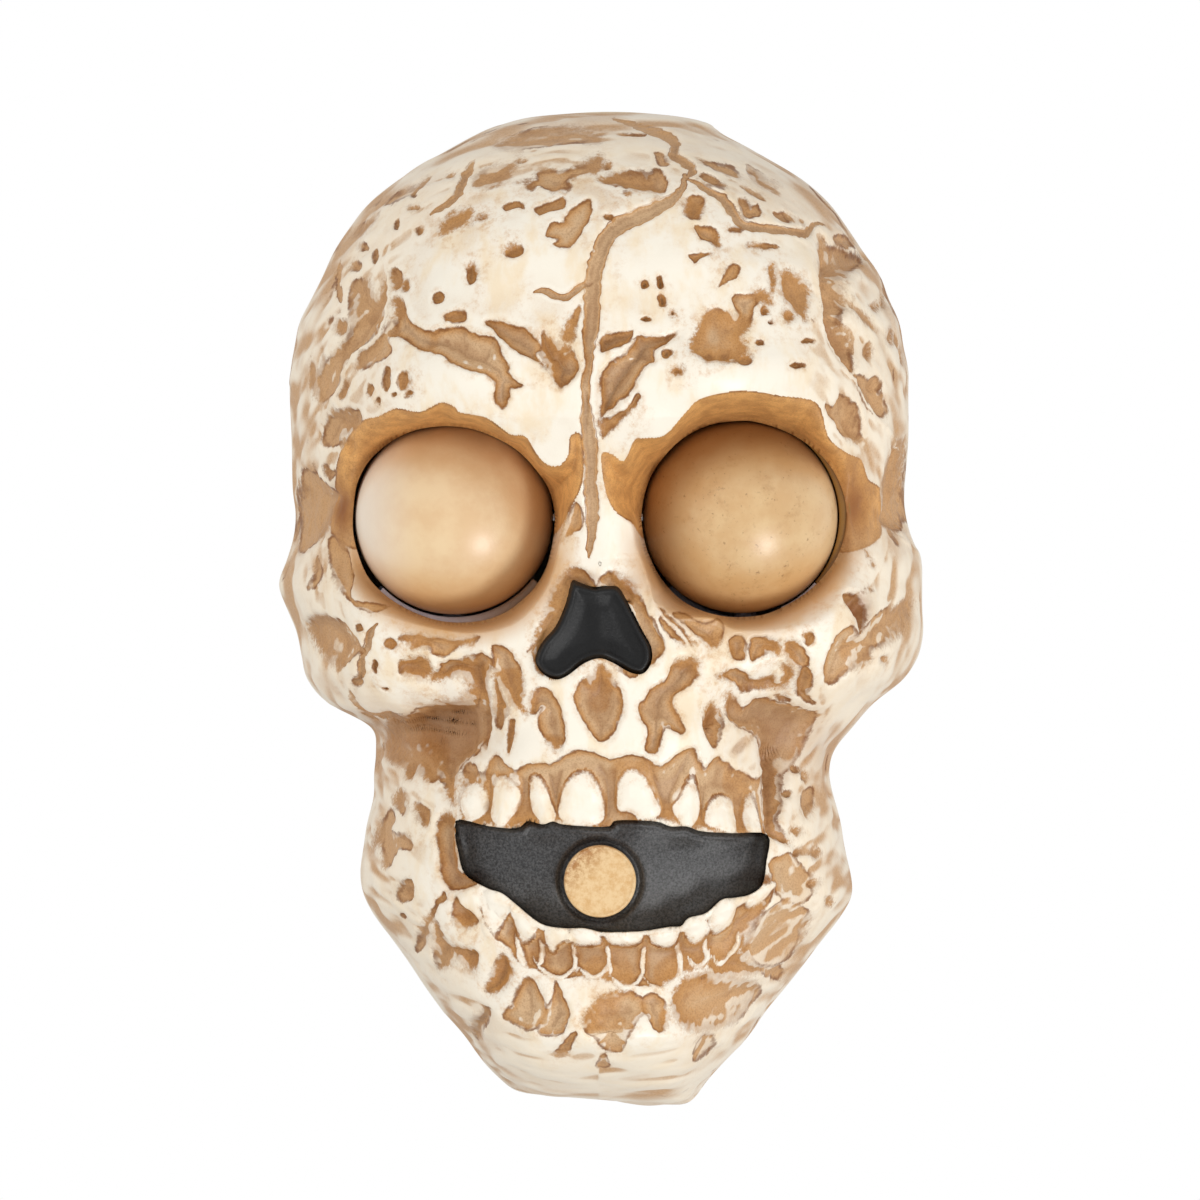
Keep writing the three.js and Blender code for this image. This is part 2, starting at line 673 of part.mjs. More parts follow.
function tooth([left, right, high, low]) {
  const [x0, x1] = [left, right].map((share) => (share * SKULL_WIDTH) / 2);
  const [z0, z1] = [low, high].map((share) => (share * SKULL_HEIGHT) / 2);
  const [x, z] = [(x0 + x1) / 2, (z0 + z1) / 2];
  const lean = Math.atan2(boneDepth(x1, z) - boneDepth(x0, z), x1 - x0);
  const corners = [
    [x0 - x, z0 - z],
    [x1 - x, z0 - z],
    [x1 - x, z1 - z],
    [x0 - x, z1 - z],
  ];
  const geometry = new THREE.ExtrudeGeometry(shapeOf(corners), {
    depth: TOOTH.rise + TOOTH.sunk - TOOTH.bevel,
    bevelThickness: TOOTH.bevel,
    bevelSize: TOOTH.bevel,
    bevelOffset: -TOOTH.bevel,
    bevelSegments: 1,
  });
  geometry.rotateX(Math.PI / 2);
  geometry.rotateZ(-lean);
  geometry.translate(x, TOOTH.sunk - boneDepth(x, z), z);
  return solidOf(geometry);
}

function crack(shares) {
  const places = shares.map(([across, up]) => {
    const [x, z] = [(across * SKULL_WIDTH) / 2, (up * SKULL_HEIGHT) / 2];
    return new THREE.Vector3(x, -boneDepth(x, z), z);
  });
  const steps = CRACK.stepsPerPlace * places.length;
  return wire(new THREE.CatmullRomCurve3(places), CRACK.radius, CRACK.sides, steps);
}

function hollow([across, up, wide, tall]) {
  const [x, z] = [(across * SKULL_WIDTH) / 2, (up * SKULL_HEIGHT) / 2];
  const geometry = new THREE.SphereGeometry(1, HOLLOW.round, HOLLOW.rise);
  geometry.rotateX(Math.PI / 2);
  geometry.scale((wide * SKULL_WIDTH) / 2, HOLLOW.deep, (tall * SKULL_HEIGHT) / 2);
  const slope = (boneDepth(x + WALL, z) - boneDepth(x - WALL, z)) / (2 * WALL);
  geometry.rotateZ(-Math.atan(slope));
  geometry.translate(x, -boneDepth(x, z), z);
  return solidOf(geometry);
}

function skullShell() {
  const bosses = CASE_SCREWS.map(([x, z]) =>
    rod("depth", SCREW_BOSS_RADIUS, [COVER_THICK + FIT, SKULL_DEPTH], x, z),
  );
  const sides = [-1, 1];
  const bowls = sides.flatMap((side) => [
    socketBowl(side, WALL),
    socketTube(side, WALL, [EYE_DEPTH - WALL, EYE_DEPTH + WELD]),
  ]);
  const teeth = [...UPPER_TEETH_SHARES, ...LOWER_TEETH_SHARES].map(tooth);
  const within = outerBody.intersect(joined([...bosses, ...bowls]));
  const through = [SKULL_DEPTH / 2, BEYOND];
  const bearingRoom = LID_BOSS_INNER + LID_BOSS_WIDE + FIT;
  return cut(joined([outerBody.subtract(innerBody), within, ...teeth]), [
    block([-BEYOND, BEYOND], [-BEYOND, RIM_LIFT], [-BEYOND, BEYOND]),
    block([-bearingRoom, bearingRoom], [0, BEARING_FRONT + FIT], [CHASSIS_LOW, SPINE_HIGH]),
    ...sides.map((side) => socketBowl(side, 0)),
    ...sides.map((side) => socketTube(side, 0, [CHASSIS_FRONT, EYE_DEPTH + WELD])),
    ...sides.map((side) => ball(LID_RADIUS + BROW_CLEARANCE, side * EYE_X)),
    frontPrism(inMillimetres(MOUTH_SHARES), through),
    frontPrism(inMillimetres(NOSE_SHARES, NOSE.holeShare), through),
    ...CASE_SCREWS.map((place) => screwHole(place, [0, CASE_SCREW_SUNK + CASE_SCREW_LONG])),
    ...CRACK_SHARES.map(crack),
    ...HOLLOW_SHARES.map(hollow),
  ]);
}

// Screws: the head's seat is at one depth and the shank runs forwards (1) or backwards (-1) from it

function screw([x, z], seat, towards, long, form = SCREW) {
  const order = (a, b) => (a < b ? [a, b] : [b, a]);
  const head = rod("depth", form.head, order(seat, seat - towards * form.headHigh), x, z, 10);
  const shank = rod("depth", form.shank, order(seat - towards * WELD, seat + towards * long), x, z, 8);
  return head.add(shank);
}

function screwHole([x, z], depths) {
  return rod("depth", SCREW.shank + SCREW.seatGap, depths, x, z, 8);
}

function post([x, z], radius, depths) {
  return rod("depth", radius, depths, x, z);
}

// Nose and mouth inserts

function noseInsert() {
  const surface = boneDepth(0, (NOSE_MID_SHARE * SKULL_HEIGHT) / 2);
  const plug = frontPrism(
    inMillimetres(NOSE_SHARES),
    [surface - WALL - NOSE.back, surface + NOSE.proud],
    NOSE.bevel,
  );
  const wide = frontPrism(inMillimetres(NOSE_SHARES, NOSE.flangeShare), [SKULL_DEPTH / 2, BEYOND]);
  const flange = wide.intersect(fittedBody).subtract(skullBody(WALL + FIT + NOSE.flange, INSIDE_STEPS));
  return plug.add(flange);
}

const mouthFront = boneDepth(BUTTON_X, BUTTON_Z) - MOUTH.recess;
const boardFace = mouthFront - BUTTON_BOARD.behind;

function mouthDepth(x) {
  return mouthFront - MOUTH.radius + Math.sqrt(MOUTH.radius ** 2 - x ** 2);
}

// Everything in front of the curved mouth wall, or of a face set back from it
function aheadOfMouth(setBack, [left, right], [low, high]) {
  const steps = 10;
  const points = [];
  for (let i = 0; i <= steps; i++) {
    const x = THREE.MathUtils.lerp(left, right, i / steps);
    points.push([x, setBack - mouthDepth(x)]);
  }
  points.push([right, -BEYOND], [left, -BEYOND]);
  const geometry = new THREE.ExtrudeGeometry(shapeOf(points), { depth: high - low, bevelEnabled: false });
  geometry.translate(0, 0, low);
  return solidOf(geometry);
}

function mouthInsert() {
  const opening = inMillimetres(MOUTH_SHARES);
  const [xs, zs] = [opening.map(([x]) => x), opening.map(([, z]) => z)];
  const across = [Math.min(...xs) - MOUTH_SKIRT.left, Math.max(...xs) + MOUTH_SKIRT.right];
  const up = [Math.min(...zs) - MOUTH_SKIRT.below, Math.max(...zs) + MOUTH_SKIRT.above];
  const tray = aheadOfMouth(MOUTH.wall, across, up).intersect(fittedBody);
  const room = frontPrism(inMillimetres(MOUTH_SHARES, MOUTH_MARGIN_SHARE), [0, BEYOND]);
  const bossPlaces = [-BUTTON_BOSS_X, BUTTON_BOSS_X].map((x) => [BUTTON_X + x, BUTTON_Z]);
  const bossDepths = [boardFace + FIT, mouthDepth(BUTTON_BOSS_X) - MOUTH.wall / 2];
  const bosses = bossPlaces.map((place) => post(place, SCREW.head, bossDepths));
  const pilotTo = boardFace - BUTTON_BOARD.thick - FIT + BUTTON_SCREW_LONG + FIT;
  return cut(tray.subtract(room.intersect(aheadOfMouth(0, across, up))).add(joined(bosses)), [
    rod("depth", BUTTON.radius + BUTTON.gap, [boardFace, BEYOND], BUTTON_X, BUTTON_Z, WIDE_SIDES),
    ...bossPlaces.map((place) => screwHole(place, [boardFace, pilotTo])),
  ]);
}

// Button, its spring, switch and board

const flangeFront = mouthDepth(BUTTON_FLANGE.radius) - MOUTH.wall - FIT;
const flangeBack = flangeFront - BUTTON_FLANGE.thick;
const capFront = mouthFront + BUTTON.proud;

// A round piece about a line along the depth, from its radius and depth pairs, from the front to the back
function turned(profile, x, z, sides = ROD_SIDES) {
  const points = profile.map(([radius, depth]) => new THREE.Vector2(radius, -depth));
  const geometry = new THREE.LatheGeometry(points, sides);
  geometry.translate(x, 0, z);
  return solidOf(geometry);
}

function buttonCap() {
  const profile = [
    [0, capFront],
    [BUTTON.radius - BUTTON.crown, capFront],
    [BUTTON.radius, capFront - BUTTON.crown],
    [BUTTON.radius, flangeFront],
    [BUTTON_FLANGE.radius, flangeFront],
    [BUTTON_FLANGE.radius, flangeBack],
    [STEM.radius, flangeBack],
    [STEM.radius, flangeBack - STEM.long],
    [0, flangeBack - STEM.long],
  ];
  return turned(profile, BUTTON_X, BUTTON_Z, WIDE_SIDES);
}

class Helix extends THREE.Curve {
  getPoint(share, target = new THREE.Vector3()) {
    const angle = 2 * Math.PI * SPRING.turns * share;
    const from = boardFace + FIT + SPRING.wire;
    const to = flangeBack - FIT - SPRING.wire;
    return target.set(
      BUTTON_X + SPRING.radius * Math.cos(angle),
      -THREE.MathUtils.lerp(from, to, share),
      BUTTON_Z + SPRING.radius * Math.sin(angle),
    );
  }
}

// A round wire along a curve
function wire(curve, radius, sides, steps) {
  const ring = [];
  for (let i = 0; i < sides; i++) {
    const angle = (2 * Math.PI * i) / sides;
    ring.push([radius * Math.cos(angle), radius * Math.sin(angle)]);
  }
  return solidOf(new THREE.ExtrudeGeometry(shapeOf(ring), { steps, extrudePath: curve }));
}

function buttonSpring() {
  return wire(new Helix(), SPRING.wire, SPRING.sides, SPRING.turns * SPRING.stepsPerTurn);
}

function buttonBoard() {
  const { thick, halfWide, halfTall } = BUTTON_BOARD;
  const up = [BUTTON_Z - halfTall, BUTTON_Z + halfTall];
  const board = block([BUTTON_X - halfWide, BUTTON_X + halfWide], [boardFace - thick, boardFace], up);
  const places = [-BUTTON_BOSS_X, BUTTON_BOSS_X].map((x) => [BUTTON_X + x, BUTTON_Z]);
  return cut(
    board,
    places.map((place) => screwHole(place, [0, SKULL_DEPTH])),
  );
}

function buttonSwitch() {
  const half = SWITCH.side / 2;
  const back = boardFace + FIT;
  const front = back + SWITCH.high;
  const body = block([BUTTON_X - half, BUTTON_X + half], [back, front], [BUTTON_Z - half, BUTTON_Z + half]);
  return body.add(post([BUTTON_X, BUTTON_Z], SWITCH.plunger, [front - WELD, front + SWITCH.plungerHigh]));
}

// Eyes

function atAngle(radius, degrees) {
  const angle = THREE.MathUtils.degToRad(degrees);
  return [radius * Math.cos(angle), radius * Math.sin(angle)];
}

// A wedge about the lids' axle: 0 degrees is forwards and 90 is up
function wedge(fromDeg, toDeg, across) {
  const points = [[EYE_DEPTH, EYE_Z]];
  const steps = Math.ceil((toDeg - fromDeg) / SECTOR_STEP_DEG);
  for (let i = 0; i <= steps; i++) {
    const [ahead, up] = atAngle(2 * LID_RADIUS, THREE.MathUtils.lerp(fromDeg, toDeg, i / steps));
    points.push([EYE_DEPTH + ahead, EYE_Z + up]);
  }
  return sidePrism(points, across);
}

function eyelid(side) {
  const x = side * EYE_X;
  const visor = ball(LID_RADIUS, x).subtract(ball(LID_RADIUS - LID_WALL, x));
  const reach = [x - LID_RADIUS - FIT, x + LID_RADIUS + FIT];
  const kept = visor.intersect(wedge(LID_LOW_DEG, LID_HIGH_DEG, reach));
  const ends = [LID_BOSS_INNER, LID_BOSS_INNER + LID_BOSS_WIDE].map((at) => side * at).sort((a, b) => a - b);
  const boss = rod("x", LID_BOSS_RADIUS, ends, EYE_DEPTH, EYE_Z);
  const bore = rod("x", AXLE_RADIUS + SCREW.seatGap, [-2 * EYE_X, 2 * EYE_X], EYE_DEPTH, EYE_Z);
  return kept.add(boss).subtract(bore);
}

function lidAxle() {
  const end = LID_BOSS_INNER + LID_BOSS_WIDE;
  return rod("x", AXLE_RADIUS, [-end, end], EYE_DEPTH, EYE_Z);
}

const irisBack = Math.sqrt(EYEBALL_RADIUS ** 2 - IRIS_RADIUS ** 2) - IRIS_DEEP;

function eyeball(side) {
  const x = side * EYE_X;
  const recess = post([x, EYE_Z], IRIS_RADIUS, [EYE_DEPTH + irisBack, EYE_DEPTH + SKULL_DEPTH]);
  const seat = [EYE_Z - 2 * EYEBALL_RADIUS, EYE_Z - EYEBALL_RADIUS + EYE_POST_SEAT + FIT];
  return cut(ball(EYEBALL_RADIUS, x), [
    recess,
    rod("z", EYE_POST_RADIUS + FIT, seat, x, EYE_POST_DEPTH),
  ]);
}

function iris(side) {
  const x = side * EYE_X;
  const disc = post([x, EYE_Z], IRIS_RADIUS - FIT, [EYE_DEPTH + irisBack + FIT, EYE_DEPTH + SKULL_DEPTH]);
  return disc.intersect(ball(EYEBALL_RADIUS, x));
}

// Gears turn about lines along X. A tooth is centred on the phase angle.

function gear(teeth, z, phaseDeg, across, bore) {
  const pitch = (teeth * GEAR_MODULE) / 2;
  const half = (Math.PI * GEAR_MODULE) / 2 / 2 - GEAR_PLAY / 2;
  const root = pitch - TOOTH_ROOT_SHARE * GEAR_MODULE;
  const tip = pitch + TOOTH_TOP_SHARE * GEAR_MODULE;
  const points = [];
  for (let i = 0; i < teeth; i++) {
    const middle = phaseDeg + (360 * i) / teeth;
    const rootHalf = THREE.MathUtils.radToDeg((half * ROOT_WIDE_SHARE) / root);
    const tipHalf = THREE.MathUtils.radToDeg((half * TIP_WIDE_SHARE) / tip);
    points.push(atAngle(root, middle - rootHalf), atAngle(tip, middle - tipHalf));
    points.push(atAngle(tip, middle + tipHalf), atAngle(root, middle + rootHalf));
  }
  const placed = points.map(([ahead, up]) => [EYE_DEPTH + ahead, z + up]);
  return sidePrism(placed, across).subtract(rod("x", bore, [-SPINE_HALF_WIDE, SPINE_HALF_WIDE], EYE_DEPTH, z));
}

function gapBelow(teeth) {
  return -90 - 180 / teeth;
}

function idlerGear() {
  const bore = PIN_RADIUS + RUNNING_GAP;
  const small = gear(IDLER_SMALL_TEETH, IDLER_Z, gapBelow(IDLER_SMALL_TEETH), GEAR_RIGHT, bore);
  const large = gear(IDLER_LARGE_TEETH, IDLER_Z, 90, GEAR_LEFT, bore);
  const hub = rod("x", IDLER_HUB, [GEAR_LEFT[1] - WELD, GEAR_RIGHT[0] + WELD], EYE_DEPTH, IDLER_Z);
  const hole = rod("x", bore, [-SPINE_HALF_WIDE, SPINE_HALF_WIDE], EYE_DEPTH, IDLER_Z);
  return joined([small, large, hub]).subtract(hole);
}

const motorFace = -BEARING_INNER - BEARING_THICK - FIT;

function lidMotor() {
  const face = motorFace;
  const round = rod("x", MOTOR.deep / 2, [face - MOTOR.long, face], EYE_DEPTH, MOTOR_Z);
  const flat = block(
    [face - MOTOR.long - FIT, face + FIT],
    [EYE_DEPTH - MOTOR.deep, EYE_DEPTH + MOTOR.deep],
    [MOTOR_Z - MOTOR.tall / 2, MOTOR_Z + MOTOR.tall / 2],
  );
  const boss = rod("x", MOTOR.boss, [face - WELD, face + MOTOR.bossLong], EYE_DEPTH, MOTOR_Z);
  const shaft = rod("x", MOTOR.shaft, [face, GEAR_LEFT[1] + FIT], EYE_DEPTH, MOTOR_Z);
  return joined([round.intersect(flat), boss, shaft]);
}

function lowerArc(side) {
  const steps = 8;
  const points = [];
  for (let i = 0; i <= steps; i++) {
    points.push(atAngle(ARC_OUTER, THREE.MathUtils.lerp(-90 - ARC_SPAN_DEG, -90 + ARC_SPAN_DEG, i / steps)));
  }
  for (let i = steps; i >= 0; i--) {
    points.push(atAngle(ARC_INNER, THREE.MathUtils.lerp(-90 - ARC_SPAN_DEG, -90 + ARC_SPAN_DEG, i / steps)));
  }
  const placed = points.map(([x, z]) => [side * EYE_X + x, EYE_Z + z]);
  return frontPrism(placed, [ARC_FRONT - ARC_THICK, ARC_FRONT]);
}

function eyeChassis() {
  const plate = [CHASSIS_BACK, CHASSIS_FRONT];
  const shelf = block(
    [-SHELF_HALF_WIDE, SHELF_HALF_WIDE],
    [CHASSIS_FRONT - WELD, SHELF_FRONT],
    [CHASSIS_LOW, CHASSIS_LOW + SHELF_THICK],
  );
  const eyePosts = [-1, 1].map((side) =>
    rod(
      "z",
      EYE_POST_RADIUS,
      [CHASSIS_LOW + SHELF_THICK - WELD, EYE_Z - EYEBALL_RADIUS + EYE_POST_SEAT],
      side * EYE_X,
      EYE_POST_DEPTH,
    ),
  );
  const cheek = [
    [CHASSIS_BACK, CHASSIS_LOW],
    [SHELF_FRONT, CHASSIS_LOW],
    [BEARING_FRONT, EYE_Z - LID_BOSS_RADIUS],
    [BEARING_FRONT, SPINE_HIGH],
    [CHASSIS_BACK, SPINE_HIGH],
  ];
  const cheeks = [
    [-BEARING_INNER - BEARING_THICK, -BEARING_INNER],
    [BEARING_INNER, BEARING_INNER + BEARING_THICK],
  ].map((across) => sidePrism(cheek, across));
  const motorBack = EYE_DEPTH - MOTOR.deep / 2 - FIT;
  const cradle = block(
    [-BEARING_INNER - BEARING_THICK - CRADLE.reach, -BEARING_INNER],
    [motorBack - CRADLE.thick, motorBack],
    [MOTOR_Z - CRADLE.halfTall, MOTOR_Z + CRADLE.halfTall],
  );
  const wide = [-SPINE_HALF_WIDE, SPINE_HALF_WIDE];
  return cut(
    joined([
      block([-CHASSIS_HALF_WIDE, CHASSIS_HALF_WIDE], plate, [CHASSIS_LOW, CHASSIS_HIGH]),
      block(wide, plate, [CHASSIS_LOW, SPINE_HIGH]),
      shelf,
      ...eyePosts,
      ...cheeks,
      cradle,
      lowerArc(-1),
      lowerArc(1),
    ]),
    [
      rod("x", AXLE_RADIUS + RUNNING_GAP, wide, EYE_DEPTH, EYE_Z),
      rod("x", PIN_RADIUS + SCREW.seatGap, wide, EYE_DEPTH, IDLER_Z),
      rod("x", MOTOR.boss + FIT, [-SPINE_HALF_WIDE, 0], EYE_DEPTH, MOTOR_Z),
      ...CHASSIS_SCREWS.map((place) => screwHole(place, [0, CHASSIS_FRONT + FIT])),
    ],
  );
}

// Rear cover and what it holds

function doorOutline(grow) {
  const half = BAY.halfWide + BAY.ledge - grow;
  const tab = DOOR.tabHalf - grow;
  const top = BAY.high + BAY.ledge - grow;
  return [
    [-half, BAY.low - BAY.ledge + grow],
    [half, BAY.low - BAY.ledge + grow],
    [half, top],
    [tab, top],
    [tab, top + DOOR.tabTall],
    [-tab, top + DOOR.tabTall],
    [-tab, top],
    [-half, top],
  ];
}

const doorScrewPlace = [0, BAY.high + BAY.ledge + DOOR.screwUp];
const doorFront = DOOR.lift + DOOR.thick;

function batteryDoor() {
  return cut(frontPrism(doorOutline(DOOR.inset), [DOOR.lift, doorFront]), [
    screwHole(doorScrewPlace, [0, COVER_THICK]),
    post(doorScrewPlace, DOOR_SCREW.head + FIT, [0, DOOR.lift + DOOR_SCREW.headHigh + SCREW.seatGap]),
  ]);
}

function grilleHoles() {
  const holes = [[SPEAKER_X, SPEAKER_Z]];
  for (const reach of GRILLE.rings) {
    for (let i = 0; i < GRILLE.perRing; i++) {
      const [x, z] = atAngle(reach, (360 * i) / GRILLE.perRing);
      holes.push([SPEAKER_X + x, SPEAKER_Z + z]);
    }
  }
  return holes.map(([x, z]) => rod("depth", GRILLE.hole, [-COVER_THICK, 2 * COVER_THICK], x, z, 8));
}

function keyhole() {
  const { headRadius, slotHalf, slotLong } = KEYHOLE;
  const headZ = (KEYHOLE_HEIGHT_SHARE * SKULL_HEIGHT) / 2;
  const through = [-COVER_THICK, 2 * COVER_THICK];
  const slot = block([-slotHalf, slotHalf], through, [headZ, headZ + slotLong]);
  return joined([
    rod("depth", headRadius, through, 0, headZ),
    slot,
    rod("depth", slotHalf, through, 0, headZ + slotLong),
  ]);
}

function knobSlot(gap, depths) {
  const reach = SLIDE.travel / 2 + SLIDE.knobHalf + gap;
  return block([-reach, reach], depths, [SWITCH_Z - SLIDE.knobTall / 2 - gap, SWITCH_Z + SLIDE.knobTall / 2 + gap]);
}

const batteryLeadX = BAY.halfWide - BATTERY_LEAD_HOLE.in;
const batteryLeadDepth = CELL_DEPTH + BATTERY_LEAD_HOLE.ahead;

function rearCover() {
  const outline = skullBody(WALL + COVER_GAP, INSIDE_STEPS);
  const plate = outline.intersect(block([-BEYOND, BEYOND], [0, COVER_THICK], [-BEYOND, BEYOND]));
  const bayWide = BAY.halfWide + BAY.wall;
  const bay = block([-bayWide, bayWide], [0, BAY.ceiling + BAY.roof], [BAY.low - BAY.wall, BAY.high + BAY.wall]);
  const behind = -COVER_THICK;
  const rise = [COVER_THICK - WELD, CHASSIS_BACK - FIT];
  const boardRise = [COVER_THICK - WELD, BOARD_BACK - FIT];
  return cut(
    joined([
      plate,
      bay,
      post(doorScrewPlace, DOOR_SCREW.boss, [0, DOOR_SCREW.bossFront]),
      ...CHASSIS_SCREWS.map((place) => post(place, SCREW_BOSS_RADIUS, rise)),
      ...BOARD_SCREWS.map((place) => post(place, SCREW.head, boardRise)),
    ]),
    [
      block([-BAY.halfWide, BAY.halfWide], [behind, BAY.ceiling], [BAY.low, BAY.high]),
      frontPrism(doorOutline(0), [behind, doorFront + FIT]),
      rod("z", LEAD_RADIUS + FIT, [BAY.high - WELD, BAY.high + 2 * BAY.wall], batteryLeadX, batteryLeadDepth),
      keyhole(),
      ...grilleHoles(),
      knobSlot(FIT, [behind, 2 * COVER_THICK]),
      screwHole(doorScrewPlace, [0, DOOR_SCREW.long + COVER_THICK]),
      ...CASE_SCREWS.map((place) => screwHole(place, [0, 2 * COVER_THICK])),
      ...CASE_SCREWS.map((place) => post(place, SCREW.head + FIT, [behind, CASE_SCREW_SUNK])),
      ...CHASSIS_SCREWS.map((place) => screwHole(place, [COVER_THICK, BEYOND])),
      ...BOARD_SCREWS.map((place) => screwHole(place, [COVER_THICK, BEYOND])),
      ...speakerScrewPlaces.map((place) => screwHole(place, [SPEAKER_PILOT_FLOOR, BEYOND])),
    ],
  );
}

// Cells lie across, the middle one turned round. Row 0 is the lowest.
const cellEnd = BAY.halfWide - FIT - CONTACT.thick - FIT;
const cellSign = (row) => (row % 2 === 0 ? 1 : -1);
const cellZ = (row) => (BAY.low + BAY.high) / 2 + (row - 1) * CELL.pitch;

function between(a, b) {
  return a < b ? [a, b] : [b, a];
}

function cell(row) {
  const sign = cellSign(row);
  const shoulder = cellEnd - CELL.nubLong;
  const body = rod("x", CELL.radius, between(sign * (shoulder - CELL.long), sign * shoulder), CELL_DEPTH, cellZ(row), 18);
  const nub = rod("x", CELL.nub, between(sign * (shoulder - WELD), sign * cellEnd), CELL_DEPTH, cellZ(row), 10);
  return body.add(nub);
}

// A contact plate at one end of one or two rows, with a spring for each cell that has its flat end there
function contact(side, rows) {
  const plateAt = between(side * (BAY.halfWide - FIT), side * (BAY.halfWide - FIT - CONTACT.thick));
  const heights = rows.map(cellZ);
  const up = [Math.min(...heights) - CONTACT.halfTall, Math.max(...heights) + CONTACT.halfTall];
  const plate = block(plateAt, [CELL_DEPTH - CONTACT.halfDeep, CELL_DEPTH + CONTACT.halfDeep], up);
  const inner = BAY.halfWide - FIT - CONTACT.thick;
  const flatEnd = CELL.long + CELL.nubLong - cellEnd + FIT;
  const springs = rows
    .filter((row) => cellSign(row) !== side)
    .map((row) => {
      const [base, tip] = [CONTACT.springBase, CONTACT.springTip];
      const ends = between(side * (inner + WELD), side * flatEnd);
      const [from, to] = side > 0 ? [tip, base] : [base, tip];
      return rod("x", from, ends, CELL_DEPTH, cellZ(row), 10, to);
    });
  return joined([plate, ...springs]);
}

function switchBody() {
  const body = block(
    [-SLIDE.halfWide, SLIDE.halfWide],
    [COVER_THICK + FIT, COVER_THICK + FIT + SLIDE.deep],
    [SWITCH_Z - SLIDE.halfTall, SWITCH_Z + SLIDE.halfTall],
  );
  return body.subtract(knobSlot(FIT, [COVER_THICK, COVER_THICK + SLIDE.deep / 2]));
}

function switchKnob() {
  const off = -SLIDE.travel / 2;
  return block(
    [off - SLIDE.knobHalf, off + SLIDE.knobHalf],
    [SLIDE.knobSunk, COVER_THICK + SLIDE.deep / 2 - FIT],
    [SWITCH_Z - SLIDE.knobTall / 2, SWITCH_Z + SLIDE.knobTall / 2],
  );
}

const speakerBack = COVER_THICK + FIT;
const speakerScrewPlaces = [-1, 1].map((end) => [SPEAKER_X, SPEAKER_Z + end * SPEAKER.screwReach]);

function speakerFrame() {
  const rimFront = speakerBack + SPEAKER_DEPTHS.rimThick;
  const bowl = speakerBack + SPEAKER_DEPTHS.bowl;
  const magnet = speakerBack + SPEAKER_DEPTHS.magnet;
  const profile = [
    [0, magnet],
    [SPEAKER.magnet, magnet],
    [SPEAKER.magnet, bowl + SPEAKER_DEPTHS.bowlWall],
    [SPEAKER.rim, rimFront],
    [SPEAKER.rim, speakerBack],
    [SPEAKER.mouth, speakerBack],
    [SPEAKER.throat, bowl],
    [0, bowl],
  ];
  const ears = [-1, 1].map((end) =>
    block(
      [SPEAKER_X - SPEAKER.earHalf, SPEAKER_X + SPEAKER.earHalf],
      [speakerBack, rimFront],
      between(SPEAKER_Z + (end * (SPEAKER.mouth + SPEAKER.rim)) / 2, SPEAKER_Z + end * SPEAKER.earReach),
    ),
  );
  return cut(
    joined([turned(profile, SPEAKER_X, SPEAKER_Z, WIDE_SIDES), ...ears]),
    speakerScrewPlaces.map((place) => screwHole(place, [0, magnet])),
  );
}

function speakerCone() {
  const edgeBack = speakerBack + FIT;
  const { dish, edge, edgeWide, deep, thick } = CONE;
  const profile = [
    [0, edgeBack + deep + thick],
    [dish + edgeWide, edgeBack + deep + thick],
    [edge, edgeBack],
    [edge - edgeWide, edgeBack],
    [dish, edgeBack + deep],
    [0, edgeBack + deep],
  ];
  return turned(profile, SPEAKER_X, SPEAKER_Z, WIDE_SIDES);
}

function mainBoard() {
  const front = BOARD_BACK + BOARD_THICK;
  return cut(
    block([BOARD_LEFT, BOARD_RIGHT], [BOARD_BACK, front], [BOARD_LOW, BOARD_HIGH]),
    BOARD_SCREWS.map((place) => screwHole(place, [0, BEYOND])),
  );
}

const boardFront = BOARD_BACK + BOARD_THICK;

function chip() {
  const half = CHIP.side / 2;
  const depths = [boardFront + FIT, boardFront + FIT + CHIP.high];
  const [x, z] = [BOARD_RIGHT - CHIP.fromRight, BOARD_HIGH - CHIP.fromTop];
  return block([x - half, x + half], depths, [z - half, z + half]);
}

function capacitor() {
  const place = [BOARD_RIGHT - CAPACITOR.fromRight, BOARD_LOW + CAPACITOR.fromBottom];
  return post(place, CAPACITOR.radius, [boardFront + FIT, boardFront + FIT + CAPACITOR.high]);
}

const boardSocketDepth = BOARD_BACK + BOARD_THICK / 2;
const underBoard = (spot) => [BOARD_LEFT + spot, boardSocketDepth, BOARD_LOW - LEAD_END_GAP];
const besideBoard = (spot) => [BOARD_LEFT - LEAD_END_GAP, boardSocketDepth, BOARD_HIGH - spot];

function lead(route, start, end) {
  const from = (place) => (step) => place.map((value, axis) => value + step[axis]);
  const places = [...route.out.map(from(start)), ...route.in.map(from(end))];
  const curve = new THREE.CatmullRomCurve3(places.map(([x, depth, z]) => new THREE.Vector3(x, -depth, z)));
  return wire(curve, LEAD_RADIUS, LEAD_SIDES, LEAD_STEPS);
}

function batteryLead() {
  const start = [batteryLeadX, batteryLeadDepth, BAY.high - BATTERY_LEAD_HOLE.down];
  return lead(BATTERY_LEAD, start, underBoard(BOARD_LEAD_SPOTS.battery));
}

function speakerLead() {
  const start = [SPEAKER_X + SPEAKER_LEAD_OUT.reach, SPEAKER_LEAD_OUT.depth, SPEAKER_Z];
  return lead(SPEAKER_LEAD, start, besideBoard(BOARD_LEAD_SPOTS.speaker));
}

function motorLead() {
  const start = [motorFace - MOTOR.long - MOTOR_LEAD_OUT.clear, EYE_DEPTH, MOTOR_Z - MOTOR_LEAD_OUT.down];
  return lead(MOTOR_LEAD, start, besideBoard(BOARD_LEAD_SPOTS.motor));
}

